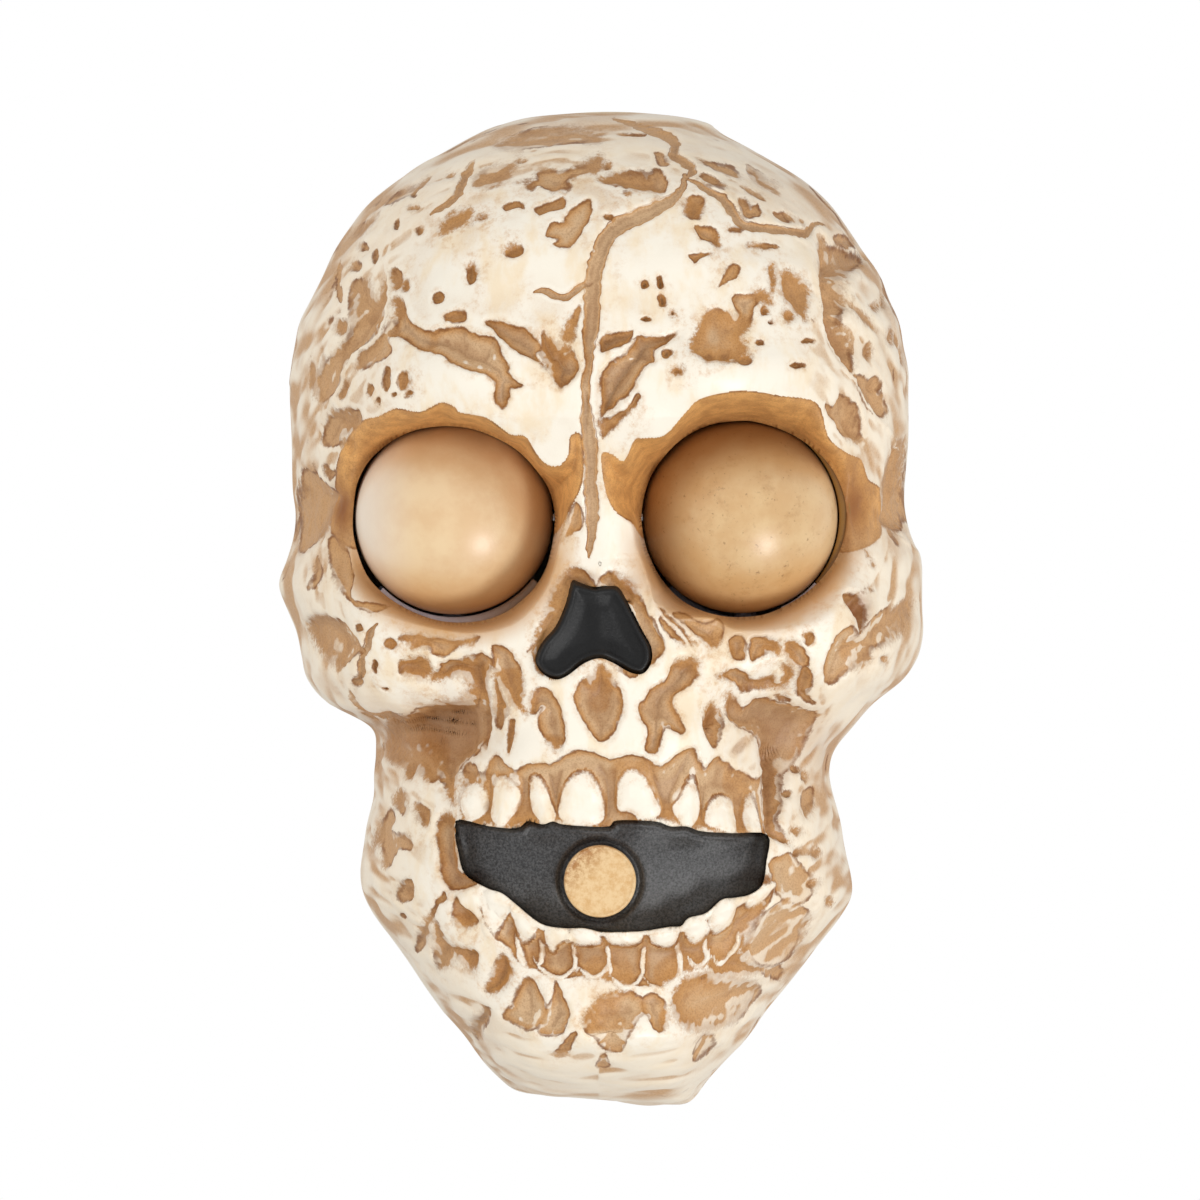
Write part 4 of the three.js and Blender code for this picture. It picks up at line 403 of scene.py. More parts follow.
# Hollows that hold the wash: depth in millimetres, the edge's roundness in pixels, corners
HOLLOWS = {
    FOREHEAD_LEFT: [
        (1.0, 6, [(450, 860), (520, 850), (560, 920), (600, 860), (612, 900), (600, 1020), (570, 1080),
                  (520, 1130), (450, 1190), (400, 1270), (370, 1360), (300, 1400), (265, 1330), (270, 1270),
                  (350, 1190), (410, 1130), (435, 1050), (432, 950)]),
        (1.2, 3, [(625, 945), (660, 935), (690, 960), (710, 1030), (740, 1060), (800, 1085), (870, 1070),
                  (960, 1065), (1000, 1090), (1060, 1110), (1110, 1130), (1130, 1180), (1160, 1230),
                  (1180, 1300), (1225, 1330), (1200, 1345), (1170, 1350), (1165, 1400), (1150, 1430),
                  (1115, 1430), (1095, 1390), (1100, 1330), (1060, 1285), (1000, 1270), (920, 1240),
                  (850, 1190), (780, 1180), (720, 1145), (695, 1120), (640, 1110), (620, 1090), (650, 1040),
                  (640, 990)]),
        (0.5, 5, [(470, 1255), (500, 1160), (600, 1070), (635, 1020), (650, 1080), (620, 1120), (640, 1180),
                  (560, 1230)]),
        (1.3, 3, [(1060, 1045), (1110, 1040), (1160, 1055), (1230, 1070), (1270, 1110), (1300, 1150),
                  (1290, 1200), (1330, 1250), (1280, 1220), (1220, 1190), (1150, 1140), (1100, 1090)]),
        (1.5, 4, [(1305, 1095), (1340, 1110), (1380, 1130), (1430, 1150), (1460, 1200), (1475, 1260),
                  (1440, 1320), (1400, 1345), (1370, 1310), (1340, 1260), (1300, 1180)]),
        (0.3, 4, [(1400, 1120), (1430, 1040), (1470, 980), (1490, 1000), (1465, 1060), (1450, 1130)]),
        (0.4, 3, [(1005, 430), (1020, 370), (1110, 335), (1200, 320), (1160, 360), (1150, 400),
                  (1070, 440)]),
        (0.5, 3, [(1240, 425), (1290, 400), (1290, 370), (1340, 350), (1400, 365), (1480, 330), (1568, 290),
                  (1568, 370), (1490, 385), (1420, 410), (1370, 450), (1300, 430), (1260, 450)]),
        (0.5, 2, [(1280, 530), (1350, 500), (1395, 480), (1420, 510), (1400, 540), (1330, 555),
                  (1290, 565)]),
        (0.5, 3, [(1325, 670), (1360, 600), (1400, 600), (1450, 540), (1520, 500), (1530, 560), (1500, 620),
                  (1450, 700), (1390, 720), (1355, 700), (1380, 680)]),
        (0.3, 2, [(1150, 545), (1145, 520), (1215, 500), (1235, 540), (1200, 530)]),
        (0.3, 3, [(860, 600), (930, 550), (1000, 535), (980, 590), (900, 640), (865, 655)]),
        (0.3, 4, [(1100, 225), (1200, 175), (1300, 150), (1420, 150), (1568, 185), (1568, 235), (1440, 230),
                  (1300, 250), (1200, 270), (1110, 260)]),
        (0.3, 3, [(590, 490), (660, 440), (740, 420), (800, 380), (760, 440), (680, 480), (620, 510)]),
        (0.3, 3, [(450, 620), (500, 580), (550, 570), (500, 640), (460, 650)]),
    ],
    FOREHEAD_RIGHT: [
        (0.8, 3, [(0, 400), (80, 365), (180, 355), (210, 365), (270, 345), (300, 440), (260, 465),
                  (130, 445), (40, 430)]),
        (0.6, 2, [(372, 525), (405, 480), (450, 490), (465, 530), (440, 590), (390, 575)]),
        (0.4, 3, [(425, 620), (500, 625), (530, 650), (540, 710), (500, 700), (440, 680)]),
        (0.3, 2, [(395, 750), (450, 748), (495, 745), (450, 770), (410, 785)]),
        (0.3, 3, [(530, 890), (580, 800), (620, 795), (605, 850), (570, 870)]),
        (0.7, 3, [(590, 930), (680, 920), (740, 910), (775, 970), (720, 960), (690, 990), (680, 1050),
                  (640, 1110), (660, 1170), (600, 1225), (480, 1220), (400, 1170), (420, 1100), (450, 1030),
                  (500, 985), (560, 1000), (610, 1010)]),
        (0.3, 2, [(750, 800), (780, 800), (785, 900), (760, 910)]),
        (0.7, 3, [(805, 840), (840, 810), (900, 850), (940, 900), (935, 950), (925, 1040), (885, 1010),
                  (830, 960), (805, 900)]),
        (1.8, 4, [(1005, 650), (1050, 680), (1110, 690), (1200, 740), (1150, 800), (1100, 860), (1110, 960),
                  (1090, 1030), (1130, 1110), (1150, 1200), (1140, 1265), (1080, 1200), (1030, 1110),
                  (1000, 1010), (990, 900), (985, 760)]),
        (0.6, 3, [(1055, 648), (1095, 632), (1140, 655), (1155, 690), (1100, 682)]),
        (0.4, 3, [(1130, 970), (1190, 1000), (1230, 1050), (1240, 1080), (1180, 1035)]),
        (0.7, 5, [(1140, 1280), (1200, 1290), (1260, 1340), (1295, 1420), (1280, 1460), (1220, 1450),
                  (1170, 1380)]),
        (0.9, 3, [(0, 1110), (80, 1092), (145, 1085), (130, 1130), (60, 1165), (5, 1180)]),
        (1.6, 5, [(160, 1110), (250, 1110), (330, 1090), (300, 1130), (240, 1170), (240, 1220), (200, 1240),
                  (170, 1300), (130, 1370), (60, 1430), (5, 1480), (0, 1300), (60, 1210), (120, 1170)]),
        (1.0, 4, [(0, 1500), (60, 1470), (120, 1430), (160, 1370), (180, 1380), (150, 1430), (90, 1500),
                  (40, 1550), (5, 1568)]),
        (0.9, 3, [(1010, 1420), (1050, 1420), (1090, 1365), (1140, 1400), (1170, 1450), (1180, 1568),
                  (1110, 1568), (1060, 1500)]),
        (0.4, 2, [(440, 385), (480, 372), (540, 410), (500, 422)]),
        (0.4, 2, [(638, 430), (680, 440), (745, 500), (690, 475)]),
        (0.4, 2, [(618, 500), (650, 490), (680, 520), (710, 515), (720, 560), (650, 572)]),
        (0.4, 2, [(780, 545), (840, 545), (872, 585), (800, 575)]),
        (0.4, 4, [(440, 310), (520, 320), (600, 340), (632, 380), (590, 388), (520, 360)]),
        (0.4, 4, [(650, 330), (720, 355), (800, 440), (750, 430), (690, 385)]),
        (0.2, 3, [(650, 700), (710, 690), (790, 700), (790, 715), (700, 715)]),
        (0.2, 3, [(570, 635), (610, 610), (650, 620), (610, 645)]),
        (0.3, 3, [(240, 290), (270, 275), (310, 330), (270, 330)]),
    ],
    EYE_LEFT: [
        (0.9, 4, [(255, 250), (280, 170), (320, 130), (420, 130), (440, 170), (430, 210), (400, 230),
                  (355, 240), (340, 280), (290, 292), (260, 280)]),
        (0.5, 3, [(352, 275), (385, 250), (410, 270), (395, 330), (355, 310)]),
        (1.2, 6, [(170, 385), (210, 400), (260, 440), (310, 480), (340, 520), (310, 580), (285, 640),
                  (230, 700), (150, 745), (145, 600), (150, 480)]),
        (0.5, 3, [(265, 375), (300, 385), (325, 410), (295, 440), (272, 420)]),
        (0.6, 6, [(290, 690), (350, 680), (385, 760), (400, 860), (390, 930), (440, 960), (560, 980),
                  (480, 1010), (400, 970), (330, 900), (295, 800)]),
        (0.2, 4, [(240, 760), (255, 850), (215, 915), (195, 905), (225, 840)]),
        (1.3, 3, [(190, 1060), (240, 1025), (300, 1035), (370, 1080), (430, 1160), (437, 1200), (400, 1210),
                  (375, 1235), (330, 1262), (270, 1215), (210, 1135)]),
        (0.5, 3, [(605, 1125), (680, 1105), (780, 1120), (870, 1135), (960, 1115), (930, 1150), (890, 1160),
                  (820, 1205), (760, 1200), (730, 1170), (660, 1180), (650, 1155)]),
        (0.9, 3, [(605, 1230), (640, 1213), (725, 1213), (740, 1260), (735, 1300), (690, 1312), (640, 1300),
                  (605, 1270)]),
        (1.6, 5, [(790, 1240), (900, 1210), (960, 1190), (1000, 1215), (1003, 1270), (985, 1330),
                  (992, 1400), (985, 1568), (960, 1568), (950, 1440), (925, 1370), (880, 1310), (830, 1300),
                  (760, 1320), (740, 1290), (780, 1262)]),
        (1.0, 3, [(1003, 1150), (1060, 1160), (1120, 1225), (1145, 1330), (1140, 1400), (1160, 1450),
                  (1120, 1440), (1060, 1370), (1012, 1290), (1003, 1210)]),
        (0.8, 3, [(1010, 1290), (1045, 1350), (1082, 1420), (1060, 1500), (1020, 1515), (1005, 1400)]),
        (0.6, 3, [(1160, 1190), (1200, 1110), (1240, 1000), (1280, 900), (1325, 840), (1380, 812),
                  (1440, 850), (1465, 895), (1400, 905), (1360, 885), (1340, 960), (1290, 1060),
                  (1225, 1170), (1195, 1150)]),
        (0.4, 4, [(1310, 700), (1330, 610), (1380, 545), (1405, 600), (1395, 640), (1350, 690)]),
    ],
    EYE_RIGHT: [
        (1.2, 6, [(1340, 280), (1392, 265), (1390, 480), (1395, 600), (1350, 640), (1280, 600), (1300, 500),
                  (1310, 420)]),
        (2.2, 4, [(1120, 910), (1190, 905), (1222, 950), (1228, 1000), (1205, 1075), (1180, 1010)]),
        (1.1, 3, [(1040, 1200), (1060, 1130), (1100, 1070), (1160, 1040), (1200, 1080), (1250, 1000),
                  (1350, 950), (1425, 925), (1385, 1050), (1330, 1110), (1255, 1150), (1230, 1200),
                  (1140, 1250), (1090, 1292), (1040, 1290)]),
        (0.6, 3, [(630, 1130), (645, 1088), (700, 1090), (715, 1140), (690, 1190), (650, 1180)]),
        (0.8, 3, [(718, 1160), (740, 1092), (840, 1108), (845, 1165), (790, 1160), (735, 1200)]),
        (0.7, 3, [(858, 1160), (872, 1105), (920, 1115), (965, 1180), (960, 1225), (900, 1215)]),
        (0.4, 2, [(940, 1080), (975, 1070), (990, 1100), (960, 1130)]),
        (0.9, 3, [(575, 1255), (640, 1228), (700, 1240), (740, 1272), (820, 1255), (835, 1290), (862, 1250),
                  (850, 1205), (905, 1240), (875, 1300), (800, 1315), (735, 1315), (690, 1335), (655, 1290),
                  (610, 1262)]),
        (0.8, 3, [(905, 1290), (930, 1235), (970, 1228), (988, 1280), (950, 1342), (918, 1335)]),
        (0.4, 2, [(825, 1345), (870, 1340), (895, 1365), (860, 1375)]),
        (0.5, 2, [(930, 1330), (970, 1340), (1000, 1380), (960, 1375)]),
        (0.8, 4, [(390, 985), (440, 980), (520, 1025), (580, 1010), (612, 1050), (600, 1110), (560, 1138),
                  (500, 1085), (430, 1025)]),
        (1.2, 4, [(250, 1400), (270, 1350), (300, 1310), (365, 1260), (385, 1210), (440, 1178), (497, 1190),
                  (500, 1255), (450, 1310), (390, 1360), (440, 1450), (430, 1492), (360, 1470), (330, 1568),
                  (275, 1568), (285, 1480)]),
        (0.7, 3, [(530, 1410), (560, 1370), (600, 1400), (605, 1490), (570, 1560), (535, 1500)]),
        (0.6, 3, [(100, 835), (150, 825), (220, 880), (275, 960), (315, 1040), (350, 1100), (345, 1150),
                  (308, 1205), (300, 1130), (270, 1050), (220, 930), (160, 875)]),
        (0.5, 3, [(330, 965), (400, 1010), (450, 1080), (480, 1110), (430, 1100), (370, 1020)]),
    ],
    MOUTH_VIEW: [
        (1.2, 6, [(680, 540), (700, 480), (740, 450), (785, 400), (830, 450), (872, 520), (868, 600),
                  (842, 670), (790, 712), (760, 690), (700, 600)]),
        (1.0, 4, [(498, 540), (540, 493), (585, 505), (622, 560), (640, 640), (642, 710), (610, 737),
                  (570, 700), (540, 650), (537, 605), (552, 572), (520, 600), (500, 580)]),
        (0.5, 3, [(415, 740), (425, 640), (448, 620), (445, 680), (430, 752)]),
        (0.6, 4, [(1190, 600), (1220, 558), (1255, 580), (1272, 640), (1240, 712), (1210, 690),
                  (1190, 650)]),
        (0.6, 3, [(1010, 225), (1060, 215), (1110, 290), (1120, 330), (1060, 300)]),
        (0.9, 6, [(515, 345), (560, 225), (600, 170), (640, 90), (655, 50), (690, 30), (720, 45), (762, 92),
                  (800, 52), (835, 42), (880, 70), (930, 120), (965, 185), (1000, 240), (1035, 320),
                  (1025, 370), (985, 410), (900, 460), (780, 385), (620, 465), (540, 440)]),
        (1.2, 8, [(-60, 620), (0, 630), (60, 600), (150, 560), (230, 550), (290, 480), (328, 540),
                  (335, 650), (300, 740), (240, 800), (215, 880), (200, 960), (150, 860), (80, 760),
                  (0, 740), (-60, 720)]),
        (1.2, 8, [(1280, 600), (1295, 520), (1340, 580), (1400, 550), (1470, 560), (1568, 590), (1640, 620),
                  (1600, 720), (1560, 790), (1500, 850), (1490, 960), (1480, 1050), (1440, 1060),
                  (1430, 860), (1400, 700), (1330, 660)]),
    ],
    JAW_VIEW: [
        (1.1, 3, [(335, 580), (350, 530), (380, 560), (412, 590), (418, 612), (380, 627), (345, 612)]),
        (0.7, 3, [(272, 650), (288, 608), (312, 660), (330, 690), (335, 730), (300, 755), (280, 700)]),
        (1.0, 3, [(312, 690), (400, 688), (418, 720), (395, 752), (345, 725)]),
        (1.1, 4, [(432, 815), (450, 770), (480, 708), (508, 720), (512, 770), (475, 822)]),
        (0.9, 5, [(480, 890), (510, 850), (545, 785), (578, 778), (602, 815), (620, 860), (575, 935),
                  (510, 920)]),
        (0.9, 5, [(590, 890), (640, 830), (650, 782), (688, 850), (692, 890), (660, 945), (600, 945)]),
        (1.1, 7, [(735, 920), (750, 860), (800, 818), (860, 808), (905, 830), (922, 870), (900, 905),
                  (870, 950), (850, 1000), (800, 1000), (765, 960)]),
        (0.8, 4, [(905, 840), (950, 818), (982, 850), (992, 900), (965, 935), (930, 890)]),
        (1.0, 7, [(1000, 830), (1040, 780), (1100, 757), (1180, 770), (1260, 790), (1285, 830), (1240, 875),
                  (1190, 920), (1110, 942), (1050, 930), (1010, 890)]),
        (0.8, 4, [(1120, 720), (1200, 705), (1260, 740), (1340, 752), (1325, 792), (1270, 768), (1200, 780),
                  (1130, 765)]),
        (0.7, 3, [(385, 935), (420, 872), (448, 872), (435, 930), (405, 975)]),
        (0.6, 3, [(648, 1005), (700, 935), (715, 945), (685, 1003)]),
        (0.7, 3, [(1065, 1015), (1100, 955), (1135, 955), (1128, 1000), (1080, 1035)]),
        (0.2, 3, [(772, 1035), (800, 1008), (818, 1030), (800, 1052)]),
        (0.8, 3, [(158, 525), (185, 480), (222, 495), (212, 545), (170, 550)]),
        (0.8, 3, [(222, 700), (232, 640), (262, 592), (312, 515), (322, 535), (290, 570), (245, 690)]),
        (0.7, 3, [(180, 135), (210, 122), (218, 160), (195, 178)]),
        (0.4, 3, [(148, 235), (182, 205), (200, 275), (175, 282)]),
        (0.6, 3, [(88, 405), (100, 345), (140, 268), (158, 300), (150, 335), (200, 342), (212, 392),
                  (172, 392), (145, 445), (122, 440), (112, 375)]),
        (0.5, 2, [(222, 250), (265, 268), (262, 312), (235, 305)]),
        (1.6, 4, [(283, 320), (312, 278), (345, 290), (352, 330), (352, 440), (425, 490), (330, 508),
                  (300, 440)]),
        (0.7, 6, [(1300, 420), (1360, 400), (1400, 440), (1440, 480), (1432, 530), (1400, 560), (1330, 540),
                  (1300, 480)]),
        (0.7, 5, [(1240, 640), (1300, 562), (1340, 540), (1400, 562), (1425, 600), (1385, 700), (1340, 742),
                  (1262, 738), (1212, 700)]),
        (1.4, 5, [(1285, 90), (1340, 110), (1345, 250), (1332, 300), (1362, 372), (1300, 342),
                  (1298, 250)]),
        (0.4, 3, [(1398, 225), (1430, 200), (1435, 250), (1408, 295)]),
        (0.5, 5, [(120, 60), (240, 60), (300, 130), (280, 190), (230, 160), (150, 130)]),
    ],
}
# Small pits: across, down and half sizes in their view
PITS = {
    FOREHEAD_LEFT: [(995, 830, 26, 54), (1185, 735, 44, 34), (850, 938, 28, 26), (930, 1025, 52, 26),
                    (615, 1300, 20, 56), (690, 1310, 27, 44), (715, 1370, 18, 14), (580, 1400, 14, 18),
                    (540, 1345, 20, 30), (410, 1345, 24, 44), (650, 850, 30, 50), (470, 790, 27, 28),
                    (555, 745, 14, 34), (505, 700, 20, 20), (762, 635, 17, 16), (1040, 580, 26, 12),
                    (730, 460, 15, 18), (900, 380, 14, 10), (735, 530, 30, 14), (660, 600, 14, 30),
                    (400, 1060, 26, 40), (690, 880, 22, 30), (1215, 310, 26, 12)],
    FOREHEAD_RIGHT: [(490, 1200, 38, 32), (565, 1190, 38, 32), (645, 1210, 34, 32), (845, 1015, 30, 30),
                     (735, 1000, 20, 24), (295, 1190, 24, 24), (350, 1270, 28, 18), (1240, 965, 16, 22),
                     (1275, 935, 11, 34), (1310, 1100, 16, 42), (1360, 1180, 9, 40), (1205, 1170, 17, 40),
                     (1240, 1320, 28, 38), (200, 880, 22, 20), (270, 870, 14, 30), (270, 950, 22, 30),
                     (320, 1005, 14, 12), (205, 1030, 26, 12), (40, 580, 26, 14), (30, 340, 22, 22),
                     (880, 1245, 34, 10), (760, 1050, 10, 8), (930, 1130, 34, 12), (150, 190, 60, 12),
                     (710, 1140, 22, 14)],
    EYE_LEFT: [(430, 1080, 17, 18), (568, 1148, 30, 22), (418, 1320, 26, 28), (500, 1250, 12, 30),
               (545, 1350, 16, 8), (590, 70, 12, 10)],
    EYE_RIGHT: [(1290, 1188, 14, 18), (210, 920, 12, 10)],
    JAW_VIEW: [(185, 595, 11, 10), (1375, 150, 13, 12), (1402, 170, 12, 16), (1357, 215, 12, 12),
               (1380, 335, 16, 14), (1440, 400, 22, 16), (1436, 490, 14, 14), (1480, 550, 14, 18),
               (1385, 400, 20, 12), (1100, 780, 14, 12), (205, 490, 16, 12)],
}
# Cracks and grooves: half width in pixels, depth in millimetres, points
GROOVES = {
    FOREHEAD_LEFT: [
        (4.5, 0.9, [(815, 565), (850, 535), (900, 495), (935, 455), (955, 400), (970, 365), (1005, 315)]),
        (3.2, 0.8, [(395, 745), (385, 830), (393, 900), (405, 955)]),
        (3.6, 0.7, [(1270, 920), (1310, 905), (1360, 925), (1410, 940), (1450, 920), (1490, 885),
                    (1540, 868)]),
    ],
    FOREHEAD_RIGHT: [
        (5.5, 1.0, [(60, 115), (190, 150), (290, 190), (335, 235), (335, 290), (375, 325), (415, 355),
                    (385, 400)]),
        (8, 1.1, [(375, 385), (370, 440), (325, 495), (260, 530), (200, 565), (130, 590), (90, 610),
                  (45, 650), (10, 710), (-18, 780), (-35, 860), (-35, 960), (-40, 1050), (-50, 1130),
                  (-60, 1250), (-60, 1400), (-55, 1520)]),
        (4.8, 1.0, [(385, 400), (440, 425), (500, 470), (560, 500), (600, 560), (650, 602), (760, 625),
                    (850, 630), (920, 642), (960, 600), (1005, 590)]),
    ],
    EYE_LEFT: [
        (7.4, 1.2, [(1420, 60), (1430, 200), (1440, 340), (1442, 480), (1442, 620), (1436, 770)]),
        (4, 1.0, [(515, 1060), (480, 1110), (460, 1170), (440, 1220), (440, 1280), (420, 1335)]),
        (2.5, 0.6, [(375, 1350), (400, 1410), (460, 1460), (540, 1480), (620, 1460)]),
    ],
}
# Raised lines: half width in pixels, height in millimetres, points
RIDGES = {
    FOREHEAD_LEFT: [
        (2.2, 0.5, [(640, 660), (618, 740), (615, 920), (595, 1035), (545, 1120), (455, 1200), (405, 1290),
                    (375, 1380), (330, 1450), (265, 1540)]),
        (2.5, 0.4, [(1485, 1000), (1478, 1120), (1490, 1240), (1465, 1330)]),
    ],
    FOREHEAD_RIGHT: [
        (2.5, 0.6, [(975, 690), (978, 800), (985, 920), (1000, 1040), (1040, 1130), (1090, 1220),
                    (1140, 1290), (1200, 1400), (1250, 1480)]),
        (2.5, 0.5, [(10, 1190), (60, 1170), (120, 1150), (160, 1115)]),
        (3, 0.7, [(5, 1490), (40, 1450), (90, 1440), (130, 1420)]),
    ],
    EYE_RIGHT: [
        (2.2, 0.6, [(90, 400), (140, 425), (210, 460)]),
        (2.6, 0.6, [(240, 640), (255, 740), (290, 860), (310, 960), (400, 1040), (470, 1140), (510, 1200)]),
        (2.4, 0.5, [(1170, 20), (1240, 130), (1330, 240), (1380, 300)]),
        (2.4, 0.5, [(1350, 650), (1430, 720), (1490, 800), (1480, 900)]),
    ],
    JAW_VIEW: [
        (2.6, 0.7, [(575, 700), (600, 745), (650, 770), (690, 755), (715, 715)]),
        (2.6, 0.7, [(715, 740), (755, 768), (795, 752), (815, 715)]),
        (2.6, 0.7, [(815, 760), (850, 797), (895, 790), (920, 750)]),
        (2.6, 0.7, [(915, 770), (955, 802), (1000, 792), (1030, 755)]),
        (2.6, 0.7, [(1040, 700), (1075, 737), (1110, 722), (1125, 690)]),
        (2.6, 0.7, [(1120, 700), (1160, 742), (1195, 700), (1210, 640)]),
        (3, 0.6, [(602, 660), (606, 700), (600, 745)]),
        (3, 0.6, [(700, 672), (704, 710), (712, 760)]),
        (3, 0.6, [(806, 672), (810, 710), (814, 770)]),
        (3, 0.6, [(920, 676), (916, 720), (920, 780)]),
        (3, 0.6, [(1026, 672), (1024, 710), (1032, 770)]),
        (3.4, 0.6, [(520, 640), (545, 700), (560, 750)]),
        (3, 0.6, [(1106, 650), (1112, 690), (1118, 730)]),
    ],
}
# The recessed bands that hold the teeth
TEETH_BANDS = {
    MOUTH_VIEW: [
        (1.0, 4, [(240, 840), (245, 800), (280, 790), (320, 838), (340, 780), (370, 760), (400, 790),
                  (450, 818), (480, 805), (530, 790), (600, 790), (640, 760), (700, 745), (760, 750),
                  (820, 780), (900, 762), (950, 770), (1020, 802), (1060, 780), (1110, 745), (1150, 738),
                  (1175, 765), (1200, 812), (1240, 770), (1270, 780), (1310, 812), (1345, 822), (1400, 850),
                  (1430, 850), (1440, 1060), (1300, 1060), (1140, 1040), (1000, 1010), (800, 1035),
                  (600, 1020), (480, 1040), (350, 1035), (245, 1015)]),
    ],
    JAW_VIEW: [
        (0.9, 5, [(430, 540), (520, 560), (590, 620), (700, 640), (800, 645), (910, 645), (1020, 640),
                  (1110, 600), (1200, 560), (1300, 500), (1290, 560), (1240, 640), (1200, 720), (1120, 740),
                  (1040, 760), (960, 800), (850, 790), (750, 770), (640, 770), (560, 740), (520, 700),
                  (460, 640)]),
    ],
}
# Teeth: height in millimetres, the edge's roundness in pixels, corners
TEETH = {
    MOUTH_VIEW: [
        (1.6, 6, [(245, 920), (260, 880), (290, 870), (320, 900), (330, 960), (310, 1000), (270, 1018),
                  (245, 990), (238, 950)]),
        (1.9, 6, [(345, 960), (355, 890), (385, 845), (420, 860), (455, 900), (460, 950), (430, 1010),
                  (400, 1038), (365, 1022), (345, 990)]),
        (1.7, 6, [(500, 900), (510, 850), (540, 850), (570, 900), (590, 950), (612, 1000), (580, 1028),
                  (540, 1012), (505, 970)]),
        (2.0, 7, [(625, 950), (650, 880), (690, 840), (740, 835), (770, 870), (795, 930), (802, 980),
                  (790, 1022), (730, 1032), (660, 1022), (622, 1000)]),
        (2.0, 7, [(850, 930), (860, 870), (890, 830), (930, 830), (970, 870), (1000, 930), (1022, 980),
                  (1000, 1005), (950, 1012), (900, 990), (855, 982)]),
        (1.8, 6, [(1070, 970), (1100, 930), (1140, 860), (1162, 850), (1182, 920), (1187, 980),
                  (1160, 1022), (1120, 1042), (1090, 1012)]),
        (1.6, 6, [(1200, 1012), (1225, 950), (1262, 915), (1308, 925), (1328, 1000), (1310, 1062),
                  (1260, 1052), (1210, 1035)]),
        (1.2, 4, [(1362, 1052), (1368, 960), (1388, 905), (1410, 980), (1418, 1062)]),
    ],
    JAW_VIEW: [
        (1.1, 4, [(352, 535), (385, 503), (425, 510), (443, 540), (430, 565), (385, 562)]),
        (1.5, 5, [(433, 570), (438, 525), (470, 518), (512, 538), (524, 560), (495, 600), (470, 642),
                  (445, 612)]),
        (1.3, 4, [(518, 560), (545, 570), (592, 612), (585, 642), (555, 672), (530, 632)]),
        (1.3, 4, [(617, 630), (640, 616), (680, 625), (692, 650), (655, 672), (640, 702), (620, 672)]),
        (1.4, 5, [(683, 647), (720, 623), (760, 630), (788, 656), (770, 674), (715, 674)]),
        (1.4, 5, [(798, 645), (840, 638), (890, 640), (914, 645), (890, 674), (830, 674)]),
        (1.3, 4, [(932, 637), (975, 630), (1020, 632), (1012, 672), (985, 684), (945, 668)]),
        (1.4, 5, [(1033, 612), (1060, 588), (1100, 598), (1112, 630), (1082, 674), (1050, 654)]),
        (1.5, 5, [(1110, 600), (1150, 540), (1180, 528), (1192, 570), (1182, 612), (1142, 645),
                  (1120, 634)]),
        (1.1, 4, [(1223, 535), (1260, 503), (1312, 488), (1292, 524), (1250, 564), (1230, 562)]),
    ],
}
# Places that the chips leave clean: across, down, their reaches in pixels and how clean
CLEAN = [
    (480, 275, 110, 45, 1.6),
    (690, 285, 80, 70, 1.6),
    (640, 160, 60, 20, 0.8),
    (470, 390, 110, 26, 2.5),
    (690, 395, 60, 34, 2.5),
    (790, 375, 60, 26, 2.5),
    (850, 440, 30, 40, 1.5),
    (598, 575, 40, 26, 2.5),
    (480, 690, 30, 90, 1.2),
    (600, 745, 120, 60, 2),
    (640, 690, 40, 60, 2),
    (450, 660, 70, 40, 1.5),
    (330, 650, 40, 50, 1.2),
    (600, 1050, 110, 30, 2),
    (395, 900, 40, 90, 1.5),
    (850, 880, 36, 90, 1.5),
    (480, 1010, 60, 60, 1.2),
    (820, 690, 60, 30, 1.5),
    (790, 800, 30, 60, 1.2),
    (600, 640, 230, 380, 1.6),
]


# Lines and noise


def smooth(low, high, value):
    """0 at low, 1 at high, and an even bend between them."""
    share = np.clip((value - low) / (high - low), 0, 1)
    return share * share * (3 - 2 * share)


def bell(value, wide):
    """1 where a value is 0, falling away over a width."""
    return np.exp(-((value / wide) ** 2))


def noise(places, size, seed):
    """Soft noise from 0 to 1 at places in space, with grains of a size."""
    lattice = np.random.default_rng(seed).random((NOISE_CELLS, NOISE_CELLS, NOISE_CELLS))
    at = places / size
    cell = np.floor(at).astype(int)
    part = at - cell
    part = part * part * (3 - 2 * part)
    total = np.zeros(len(places))
    for corner in itertools.product((0, 1), repeat=3):
        weight = np.prod(np.where(corner, part, 1 - part), axis=1)
        i, j, k = ((cell + corner) % NOISE_CELLS).T
        total += weight * lattice[i, j, k]
    return total


def layered(places, size, seed, layers):
    """Noise with finer layers on it."""
    total = 0
    weight = 0
    for layer in range(layers):
        total = total + noise(places, size / 2**layer, seed + layer) / 2**layer
        weight += 1 / 2**layer
    return total / weight


def rounded(points, closed=True):
    """A smooth line through points."""
    points = np.array(points, float)
    first, last = (points[-1:], points[:2]) if closed else (points[:1], points[-1:])
    padded = np.concatenate([first, points, last])
    made = []
    for before, start, end, after in zip(padded, padded[1:], padded[2:], padded[3:]):
        bend = 2 * before - 5 * start + 4 * end - after
        twist = 3 * start - before - 3 * end + after
        for step in range(LINE_STEPS):
            t = step / LINE_STEPS
            made.append((2 * start + (end - before) * t + bend * t**2 + twist * t**3) / 2)
    if not closed:
        made.append(points[-1])
    return np.array(made)


